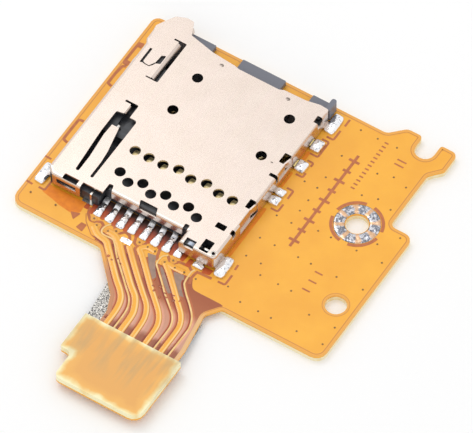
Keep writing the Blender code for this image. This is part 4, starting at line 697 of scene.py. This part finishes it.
# the tail: bare film first, then raised copper traces that run over it
traces = [  # width, height of the copper and the places it runs through
    (0.47, 0.03, [
        (4.34, -0.8), (4.96, -1.25), (5.7, -1.42), (6.21, -1.88), (7.1, -2.78), (7.93, -3.62),
        (8.69, -4.32), (9.12, -4.95), (9.33, -5.88), (9.35, -7.45)]),
    (0.13, 0.028, [
        (5.25, -0.1), (5.02, -0.45), (5.01, -0.85), (5.27, -1.06), (5.95, -1.04), (6.3, -1.28), (7.02, -2.1),
        (7.88, -2.92), (8.74, -3.75), (9.42, -4.42), (9.8, -5.07), (9.95, -5.91), (9.98, -7.45)]),
    (0.5, 0.03, [
        (5.39, -0.67), (5.94, -0.71), (6.5, -1.07), (7.12, -1.72), (8.18, -2.73), (9.04, -3.55),
        (9.78, -4.2), (10.25, -5.01), (10.45, -5.79), (10.5, -7.45)]),
    (0.42, 0.03, [
        (7.22, -0.93), (7.6, -1.32), (8.37, -2.08), (9.23, -2.9), (10.04, -3.65), (10.77, -4.35),
        (11.18, -5.11), (11.35, -5.99), (11.4, -7.45)]),
    (0.42, 0.03, [
        (8.92, -0.38), (8.32, -0.38), (7.98, -0.75), (8.38, -1.14), (9.28, -2.03), (10.18, -2.93),
        (11.0, -3.68), (11.76, -4.42), (12.2, -5.14), (12.36, -5.92), (12.4, -7.45)]),
    (0.13, 0.028, [
        (9.83, -0.2), (9.54, -0.5), (9.53, -1.14), (9.83, -1.48), (10.56, -2.17), (11.26, -2.88),
        (12.03, -3.55), (12.68, -4.17), (13.02, -4.86), (13.1, -5.6), (13.1, -7.45)]),
    (0.42, 0.03, [
        (11.44, -0.8), (10.73, -0.82), (10.1, -0.85), (10.46, -1.19), (11.06, -1.75), (11.81, -2.48),
        (12.5, -3.16), (13.12, -3.8), (13.5, -4.5), (13.62, -5.3), (13.65, -7.45)]),
    (0.13, 0.028, [
        (11.95, -0.25), (11.86, -0.57), (11.9, -1.32), (12.03, -1.66), (12.58, -2.26), (13.2, -2.84),
        (13.78, -3.5), (14.1, -4.2), (14.2, -5.0), (14.2, -7.45)])]
raised = {
    "base": 0.012, "shoulder": 0.4, "fineBelow": 0.2, "shadeFrom": -1.25, "step": 0.0075, "shadeApart": 0.0004}
section = np.linspace(-0.5, 0.5, 7)
# crown = shoulder + (1 - shoulder) * sqrt(1 - (2 * place across)**4)
crown = (1 - raised["shoulder"]) * np.sqrt(np.clip(1 - (2 * section) ** 4, 0, 1)) + raised["shoulder"]
wideBands = []
fineBands = []
shadeStrips = []
for width, height, places in traces:
    path = smoothPath(places, 6)
    fine = width < raised["fineBelow"]
    (fineBands if fine else wideBands).append(band(path, section * width, raised["base"] + crown * height))
    # a flat strip under each trace carries the painted shade and highlight, each strip a hair higher than the
    # last
    reach = width / 2 + (0.16 if fine else 0.2)
    level = raised["step"] + raised["shadeApart"] * len(shadeStrips)
    shadeStrips.append(band(path[path[:, 1] < raised["shadeFrom"]], np.linspace(-reach, reach, 7), level))
putFilm("fineTraces", joined([shape for shape, _ in fineBands]), litFineTrace, angle=60)
for name, bands, look in (("traceShadeStrips", shadeStrips, tailFilm), ("tailTraces", wideBands, traceGold)):
    putFilm(name, joined([shape for shape, _ in bands]), look, np.vstack([uv for _, uv in bands]), 60)


def between(left, right, steps, height):
    # ruled sheet between two paths cut into equally many pieces, closed underneath
    share = np.linspace(0, 1, steps)
    sides = []
    for side in (left, right):
        path = smoothPath(side, 6)
        lengths = np.concatenate([[0], np.cumsum(np.linalg.norm(np.diff(path, axis=0), axis=1))])
        lengths /= lengths[-1]
        sides.append(np.stack([np.interp(share, lengths, path[:, k]) for k in (0, 1)], -1))
    across = np.linspace(0, 1, 12)[None, :, None]
    flat = sides[0][:, None, :] * (1 - across) + sides[1][:, None, :] * across
    return onFilm(flat, height), tubeFaces(steps, 2 * across.size)


outerLeft = [(4.6, -1.5), (5.6, -1.75), (6.1, -2.2), (7.0, -3.1), (7.9, -4.0), (8.6, -4.75), (8.95, -5.6),
             (9.0, -6.4), (9.0, -7.4)]
outerRight = [(12.2, -0.9), (12.62, -1.56), (13.2, -1.66), (14.3, -1.66), (15.1, -1.74), (14.78, -2.35),
              (14.5, -3.1), (14.6, -4.2), (14.8, -5.2), (14.8, -6.3), (14.8, -7.4)]
putFilm("bareTail", between(outerLeft, outerRight, 60, 0.006), tailFilm)
gapLines = [  # bare film round the lands, between the tails and the traces
    [(3.3, 0.36), (3.5, -0.15), (3.9, -0.54), (4.33, -0.47), (4.56, -0.25), (4.86, -0.39), (4.95, -0.95),
     (5.3, -1.26), (6.00, -1.26)],
    [(5.29, -0.06), (5.58, -0.08), (5.76, -0.44), (6.16, -0.4), (6.4, -0.1), (6.8, -0.2), (7.0, -0.5)],
    [(7.19, 0.0), (7.36, -0.51), (7.68, -0.68), (7.98, -0.45), (8.1, 0.1)],
    [(7.63, -0.77), (7.67, -0.96), (8.32, -1.59), (8.98, -2.23), (9.35, -2.62)],
    [(9.05, 0.1), (9.22, -0.54), (9.4, -0.9)],
    [(9.84, -0.22), (10.12, -0.51), (10.49, -0.56), (10.72, -0.25), (11.5, -0.2), (11.8, -0.42)],
    [(13.25, -0.25), (12.15, -0.3), (12.1, -0.9), (12.25, -1.4)]]
putFilm("etchedGaps", lines(gapLines, etched["wide"], 0.0118, 0.2), bareBrown)
thinLines = [[(3.37, -0.22), (3.7, -0.75), (4.58, -1.5), (5.73, -1.81), (6.4, -2.4)]]
putFilm("etchedHairline", lines(thinLines, 0.05, 0.014, 0.2), bareBrown)
shades = [  # painted shade: grey-brown triangles between the traces
    [(9.2, -1.6), (9.98, -2.4), (10.1, -2.1), (9.42, -1.2), (9.25, -0.6), (8.55, -0.74)],
    [(10.04, -1.5), (10.82, -2.3), (11.44, -2.8), (11.63, -2.68), (11.1, -2.2), (10.2, -1.35), (9.8, -1.08)],
    [(11.34, -1.78), (12.18, -2.55), (12.55, -2.5), (12.0, -1.85), (11.61, -0.99), (10.82, -1.1)]]
putFilm("shadeTriangles", plates(shades, 0.01, 0.06), shadedFilm)
lands = [(4.05, -0.3, 0.24), (4.5, -0.68, 0.24), (5.39, -0.67, 0.26), (5.86, -0.36, 0.24),
         (7.66, -0.33, 0.24), (10.36, -0.37, 0.24), (9.95, -0.8, 0.26)]
putFilm("traceLands", joined([disc(x, y, radius, 0.022) for x, y, radius in lands]), traceGold)
vias = [
    (15.27, 15.33), (16.6, 15.33), (18.08, 15.38), (19.17, 13.2), (15.3, 12.85), (18.08, 12.87),
    (20.3, 12.92), (19.22, 11.12), (15.32, 10.78), (18.13, 10.82), (20.38, 10.82), (15.3, 9.75),
    (14.3, 9.75), (22.13, 9.2), (15.33, 8.57), (21.1, 7.97), (15.3, 7.55), (17.2, 6.8), (18.2, 6.8),
    (20.2, 6.8), (22.15, 6.85), (14.2, 6.4), (15.35, 6.4), (14.22, 4.27), (15.37, 4.27), (17.2, 4.28),
    (18.2, 4.28), (20.2, 4.28), (22.22, 4.33), (14.22, 2.55), (15.38, 2.53), (15.85, 1.72), (17.23, 1.72),
    (18.25, 1.73), (20.27, 0.73), (22.25, 0.75), (14.53, -0.2), (15.87, -0.83), (17.27, -0.83),
    (18.27, -0.83), (20.27, -0.83), (22.27, -0.8), (-0.7, -0.73), (1.28, -0.73), (4.05, -0.29),
    (4.49, -0.66), (5.39, -0.67), (5.85, -0.38), (7.65, -0.32), (8.32, -0.36), (8.91, -0.39), (9.93, -0.79),
    (10.35, -0.38), (10.75, -0.82), (11.46, -0.79), (12.39, -0.83)]
viaShape = {"radius": 0.07, "onLand": 0.05, "onFilm": 0.014}
putFilm("viaDots", joined([
    disc(x, y, viaShape["radius"], viaShape["onLand" if y < 0 and x < 12 else "onFilm"], 12)
    for x, y in vias]), viaHole)
# patches of painted shade on the bare film between the tails and at the cover's front corners
shadedGaps = []
for x in [3.6 + contactRow["tailPitch"] * number for number in range(9)]:
    shadedGaps.append([(x - 0.12, -0.1), (x + 0.12, -0.1), (x + 0.3, 1.5), (x - 0.3, 1.5)])
shadedGaps += [[(2.95, 0.1), (3.3, 0.1), (3.2, 0.9), (2.95, 0.9)],
        [(11.15, -0.3), (11.55, -0.3), (11.5, 0.36), (11.2, 0.36)],
        [(12.42, -0.2), (13.0, -0.1), (13.05, 0.34), (12.4, 0.34)]]
putFilm("shadePatches", plates(shadedGaps, 0.016, 0.05), underCoverFilm)
# deep amber painted on the film beside the cover: painted shadow and reflection of the shell
shellShadeOutlines = [
    [(-0.15, -0.22), (0.8, -0.42), (1.5, -0.6), (2.3, -0.7), (2.75, -0.72), (3.0, -0.3), (2.9, 0.5),
     (0.0, 0.5)],
    [(13.12, 1.9), (13.38, 1.9), (13.38, 6.5), (13.12, 6.5)],
    [(13.12, 8.5), (13.3, 8.5), (13.3, 9.95), (13.12, 9.95)],
    [(13.12, 11.2), (13.42, 11.2), (13.42, 12.0), (13.12, 12.0)]]
pearls = {"least": 0.05, "most": 0.13, "height": 0.05, "places": [
    (6.5, -2.35), (6.85, -2.5), (7.15, -2.2), (7.5, -2.45), (10.1, -2.35), (10.3, -2.8), (10.55, -3.1),
    (10.75, -2.6), (11.15, -3.35), (11.3, -2.9), (11.55, -3.15), (11.9, -2.75), (12.1, -3.1), (12.45, -2.9)]}
beads = np.random.default_rng(5)
glued = []
for number, (x, y) in enumerate(pearls["places"]):
    wide, long = beads.uniform(pearls["least"], pearls["most"], 2)
    glued.append(solderCoat(x - wide, x + wide, y - long, y + long, pearls["height"], number))
putFilm("gluePearls", joined(glued), glue, angle=60)
putFilm("shellShadeFilm", plates(shellShadeOutlines, 0.005, 0.15), shellShadeAmber)
print("tail and lands drawn")

tailJoint = {"half": 0.345, "front": -0.1, "back": 1.32, "height": 0.2, "taper": 0.44}
for way in range(contactRow["ways"]):
    x = contactRow["tailStart"] + contactRow["tailPitch"] * way
    coat = solderCoat(x - tailJoint["half"], x + tailJoint["half"], tailJoint["front"], tailJoint["back"],
                      tailJoint["height"], way, tailJoint["taper"])
    piece = putMesh(f"tinnedTail{way + 1}", coat, solder, "board", angle=60)
    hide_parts(f"solder_tail_{way + 1}")
coats = {  # node: left, right, front, back and height
    "solder_front": (11.58, 12.4, -0.12, 0.34, 0.24),
    "solder_front_left": (-1.12, -0.31, 0.16, 1.92, 0.3),
    "solder_front_right": (13.11, 13.93, 0.04, 1.76, 0.34),
    "solder_middle_right": (13.11, 13.9, 6.9, 7.66, 0.34),
    "solder_second_right": (13.11, 13.84, 7.74, 8.36, 0.3),
    "solder_back_right": (13.11, 13.93, 13.9, 15.56, 0.28),
    "solder_back_left": (-0.78, -0.31, 11.45, 12.65, 0.24),
    "solder_blade": (13.12, 13.93, 12.08, 13.12, 0.34),
    "solder_fixed": (13.12, 13.93, 10.1, 11.1, 0.34)}
for number, (node, sizes) in enumerate(coats.items(), 11):
    piece = putMesh("coat_" + node, solderCoat(*sizes, number), solder, "board", angle=60)
    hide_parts(node)

# tinned screw land: a ring whose section is a low dome, with twelve shallow dents round it
land = {"inner": 0.83, "outer": 1.6, "base": 0.012, "under": 0.004, "height": 0.05, "dents": 12, "sides": 96}
turn = 2 * np.pi * np.arange(land["sides"])[:, None] / land["sides"]
across = np.linspace(0, 1, 15)[None, :]
radius = land["inner"] + (land["outer"] - land["inner"]) * across
dome = np.sqrt(np.clip(1 - (2 * across - 1) ** 4, 0, 1))
dents = np.clip(np.cos(land["dents"] * turn), 0, 1) ** 6
dents = 1 - 0.45 * dents * np.clip(1 - np.abs(across - 0.55) * 3.2, 0, 1)
top = np.dstack([circle(*landMiddle, radius, turn), land["base"] + land["height"] * dome * dents])
under = top[:, ::-1].copy()
under[:, :, 2] = land["under"]
points = np.concatenate([top, under], 1)
faces = [face[::-1] for face in ringFaces(land["sides"], points.shape[1])]
piece = putMesh("tinnedLand", (points.reshape(-1, 3), faces), landSolder, "board", angle=60)
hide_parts("screw_land")
etchedArc = {"radius": 1.75, "half": 0.11, "height": 0.012}
arcs = []
for quarter in range(4):
    arc = circle(*landMiddle, etchedArc["radius"], np.radians(90 * quarter + np.linspace(10, 80, 18)))
    arcs.append(band(arc, [-etchedArc["half"], etchedArc["half"]], etchedArc["height"])[0])
putFilm("landArcs", joined(arcs), bareBrown)
testPad = [(6.45, -0.92), (7.25, -0.92), (7.25, -0.52), (6.45, -0.52)]
putMesh("testPad", plate(testPad, 0.05, 0.08), solder, "board")
print("solder laid")

# spring, cam pin and contacts, smooth
spring = {"x": 0.37, "z": 0.775, "radius": 0.37, "wire": 0.12, "turns": 12, "front": 1.58, "back": 7.94,
          "closed": 0.126}
turns = np.linspace(0, spring["turns"], spring["turns"] * 28 + 1)
# y = front + closed pitch * turns of both end coils + free length * share of the turns between them
closedEnd = np.clip(turns, 0, 1) + np.clip(turns - (spring["turns"] - 1), 0, 1)
free = spring["back"] - spring["front"] - 2 * spring["closed"]
y = spring["front"] + spring["closed"] * closedEnd + free * np.clip((turns - 1) / (spring["turns"] - 2), 0, 1)
coil = np.stack([spring["x"] + spring["radius"] * np.cos(2 * np.pi * turns), y,
                 spring["z"] + spring["radius"] * np.sin(2 * np.pi * turns)], -1)
shape = rod(coil, (0, 1, 0), spring["wire"], spring["wire"], 12)
piece = putMesh("coilSpring", shape, wire, "board", angle=70)
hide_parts("eject_spring")
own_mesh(piece)

pin = {"wire": 0.255, "places": [
    (2.05, 1.11, 0.4), (2.05, 1.11, 0.85), (2.05, 1.13, 1.02), (2.04, 1.21, 1.1), (2.03, 1.5, 1.11),
    (1.82, 5.9, 1.11), (1.81, 6.2, 1.1), (1.8, 6.3, 1.0), (1.8, 6.31, 0.85), (1.8, 6.31, 0.69)]}
shape = rod(smoothPath(pin["places"], 8), (1, 0, 0), pin["wire"], pin["wire"], 16)
piece = putMesh("camPinWire", shape, wire, "follower", angle=60)
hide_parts("cam_pin")

beam = {"width": 0.43, "thickness": 0.11, "footZ": 0.1, "railZ": 0.2, "crownZ": 0.88, "lead": 0.25}
leadingWays = (3, 5)  # power and ground touch the card first, so their points stand nearer its entry
for way in range(contactRow["ways"]):
    tail = contactRow["tailStart"] + contactRow["tailPitch"] * way
    point = contactRow["pointStart"] + contactRow["pointPitch"] * way
    lead = beam["lead"] if way in leadingWays else 0.0
    foot, rail, crest = beam["footZ"], beam["railZ"], beam["crownZ"]
    places = [(tail, 0.15, foot), (tail, 0.7, foot), (tail, 1.0, foot), (tail, 1.3, rail), (tail, 1.72, rail),
              (point, 2.67, rail), (point, 3.4, rail), (point, 4.05, rail + 0.01),
              (point, 4.72 + lead, crest - 0.07), (point, 5.08 + lead, crest),
              (point, 5.34 + lead, crest - 0.06), (point, 5.5 + lead, crest - 0.18)]
    path = smoothPath(places, 7)
    acrossBeam = np.broadcast_to([1.0, 0.0, 0.0], path.shape)
    upBeam = np.cross(acrossBeam, np.gradient(path, axis=0))
    upBeam /= np.linalg.norm(upBeam, axis=1, keepdims=True)
    shape = sweep(path, acrossBeam, upBeam, roundSection(beam["width"], beam["thickness"], 20, 5.0))
    piece = putMesh(f"contactSpring{way + 1}", shape, contactGold, "board", angle=60)
    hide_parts(f"contact_{way + 1}")
print("springs wound")


# small things of the cover: flaps bent down beside the slots, marks, and metal seen in its windows
def bentFlap(name, places, ends, thickness, look):
    # strip between two ends along y whose edge bends down along its places in x and z
    path = smoothPath([(x, 0.0, z) for x, z in places], 6)
    normal = np.cross(np.gradient(path, axis=0), [0.0, 1.0, 0.0])
    normal /= np.linalg.norm(normal, axis=1, keepdims=True)
    front, back = ends
    half = thickness / 2
    corners = np.stack([path + normal * side + np.array([0.0, y, 0.0]) for side, y in (
        (-half, front), (half, front), (half, back), (-half, back))], 1)
    putMesh(name, (corners.reshape(-1, 3), tubeFaces(len(path), 4)), look, "board", angle=50)


bentFlap("slotFlap", [(1.56, 1.33), (1.6, 1.31), (1.7, 1.22), (1.76, 1.08)], (10.72, 14.08), 0.08, steel)
bentFlap("forkFlap", [(1.6, 1.34), (1.63, 1.31), (1.68, 1.24), (1.7, 1.14)], (7.3, 8.0), 0.08, steel)

pip = {"base": 1.402, "root": 1.395, "height": 0.02, "rings": 6, "sides": 20}
rings = np.linspace(1, 0.05, pip["rings"])[:, None]
turn = 2 * np.pi * np.arange(pip["sides"])[None, :] / pip["sides"]
pips = []
for x, y, radius, stretch in ((5.05, 14.05, 0.13, 1.3), (10.3, 14.05, 0.13, 1.3), (12.15, 9.05, 0.06, 1.6)):
    # z = base + height * (1 - r**2), a few rings round its middle over a ring at its root
    top = np.stack([x + radius * stretch * rings * np.cos(turn), y + radius * rings * np.sin(turn),
                    pip["base"] + pip["height"] * (1 - rings ** 2) + 0 * turn], -1)
    under = top[:1].copy()
    under[:, :, 2] = pip["root"]
    pips.append((np.concatenate([under, top], 0).reshape(-1, 3), tubeFaces(pip["rings"] + 1, pip["sides"])))
# the pips are darker steel: painted shade of small dents in the cover
putMesh("coverPips", joined(pips), dentShadeSteel, "board", angle=60)
eye = {"middle": (12.86, 0.72, 1.4), "radius": 0.2, "wire": 0.09}
turn = 2 * np.pi * np.arange(41) / 40
ring = np.array(eye["middle"]) + eye["radius"] * np.stack([np.cos(turn), np.sin(turn), 0 * turn], -1)
putMesh("cornerEye", rod(ring, (0, 0, 1), eye["wire"], eye["wire"], 10), tinned, "board", angle=60)
bentFlap("lobeFold", [(1.5, 1.34), (1.66, 1.31), (1.78, 1.2), (1.8, 0.8)], (15.28, 15.72), 0.08, steel)
tabPlaces = [(10.72, 1.12), (10.9, 1.2), (11.2, 1.215), (11.33, 1.15)]
# the tab's blue-grey is the cover's steel in painted shade
bentFlap("windowTab", tabPlaces, (0.56, 0.86), 0.05, tabShadeSteel)
bar = smoothPath([(11.78, 1.02, 0.92), (11.95, 1.0, 0.98), (12.2, 0.98, 0.99), (12.42, 1.0, 0.93)], 6)
putMesh("windowBar", rod(bar, (0, 0, 1), 0.16, 0.05, 12, 4.0), tinned, "board")
hump = [(-0.35, 0.33), (-0.15, 0.5), (0.0, 0.56), (0.15, 0.5), (0.35, 0.33)]
humps = [sweep([(x + side, y, z) for side, z in hump], np.tile([0.0, -1.0, 0.0], (5, 1)),
               np.tile([0.0, 0.0, 1.0], (5, 1)), roundSection(0.36, 0.06, 12, 4.0))
         for x, y in ((4.08, 9.5), (11.13, 9.45))]
# the floor contacts are in a brighter gold: a painted glint
putMesh("floorContacts", joined(humps), glintGold, "board")
print("cover details set")

# camera, floor and light
view = {"azimuth": 32.17, "elevation": 54.8, "centreMm": (11.98, 4.90, 0.0), "widthMm": 31.49, "awayM": 0.6}
turn = math.radians(view["azimuth"])
rise = math.radians(view["elevation"])
back = np.array([math.sin(turn) * math.cos(rise), -math.cos(turn) * math.cos(rise), math.sin(rise)])
right = np.array([math.cos(turn), math.sin(turn), 0.0])
target = toMetres(view["centreMm"])
cameraData = bpy.data.cameras.new("camera")
cameraData.lens = cameraData.sensor_width * view["awayM"] / (view["widthMm"] / 1000)
cameraData.clip_start = 0.05
cameraData.clip_end = 10.0
camera = bpy.data.objects.new("camera", cameraData)


def standing(side, top, away, place):
    # an object's matrix from its three directions and its place
    return Matrix([[side[i], top[i], away[i], place[i]] for i in range(3)] + [[0, 0, 0, 1]])


camera.matrix_world = standing(right, np.cross(back, right), back, target + back * view["awayM"])
bpy.context.scene.collection.objects.link(camera)
bpy.context.scene.camera = camera

floorMesh = bpy.data.meshes.new("floor")
floorMesh.from_pydata([(-2, -2, 0), (2, -2, 0), (2, 2, 0), (-2, 2, 0)], [], [(0, 1, 2, 3)])
floor = bpy.data.objects.new("floor", floorMesh)
bpy.context.scene.collection.objects.link(floor)
# matt white paint, rolled on: an even ground with a barely seen grain
floorLook, floorTree = newMaterial("painted table, matt white", {"Base Color": "#FDFDFD", "Roughness": 0.9})
floorMesh.materials.append(dressed(floorLook, None, noiseOf(floorTree, 30.0, 2.0, 0.1)["Fac"], 0.03, 0.05))

light = {"worldStrength": 0.86, "keyWatts": 0.16, "keySize": 0.16, "fillWatts": 0.03, "fillSize": 0.2}
world = bpy.data.worlds.new("soft studio")
bpy.context.scene.world = world
world.use_nodes = True
worldTree = world.node_tree
background = worldTree.nodes["Background"]
background.inputs["Color"].default_value = (1, 1, 1, 1)
# the room is white to the camera and in reflections, and a little dimmer as a lamp
rays = addNode(worldTree, "ShaderNodeLightPath").outputs
seen = mathOf(worldTree, "MAXIMUM", rays["Is Camera Ray"], rays["Is Glossy Ray"])
seen = mathOf(worldTree, "MAXIMUM", seen, rays["Is Transmission Ray"])
strength = rangeOf(worldTree, seen, wanted=(light["worldStrength"], 1.0))
worldTree.links.new(strength, background.inputs["Strength"])


def addLamp(name, place, watts, size):
    lampData = bpy.data.lights.new(name, "AREA")
    lampData.energy = watts
    lampData.size = size
    lamp = bpy.data.objects.new(name, lampData)
    place = np.array(place)
    away = (place - target) / np.linalg.norm(place - target)
    side = np.cross([0, 0, 1], away)
    side /= np.linalg.norm(side)
    lamp.matrix_world = standing(side, np.cross(away, side), away, place)
    bpy.context.scene.collection.objects.link(lamp)


addLamp("key", (-0.14, 0.06, 0.26), light["keyWatts"], light["keySize"])
addLamp("fill", (0.20, -0.14, 0.16), light["fillWatts"], light["fillSize"])
bpy.context.scene.view_settings.view_transform = "Standard"
print("camera and light set")
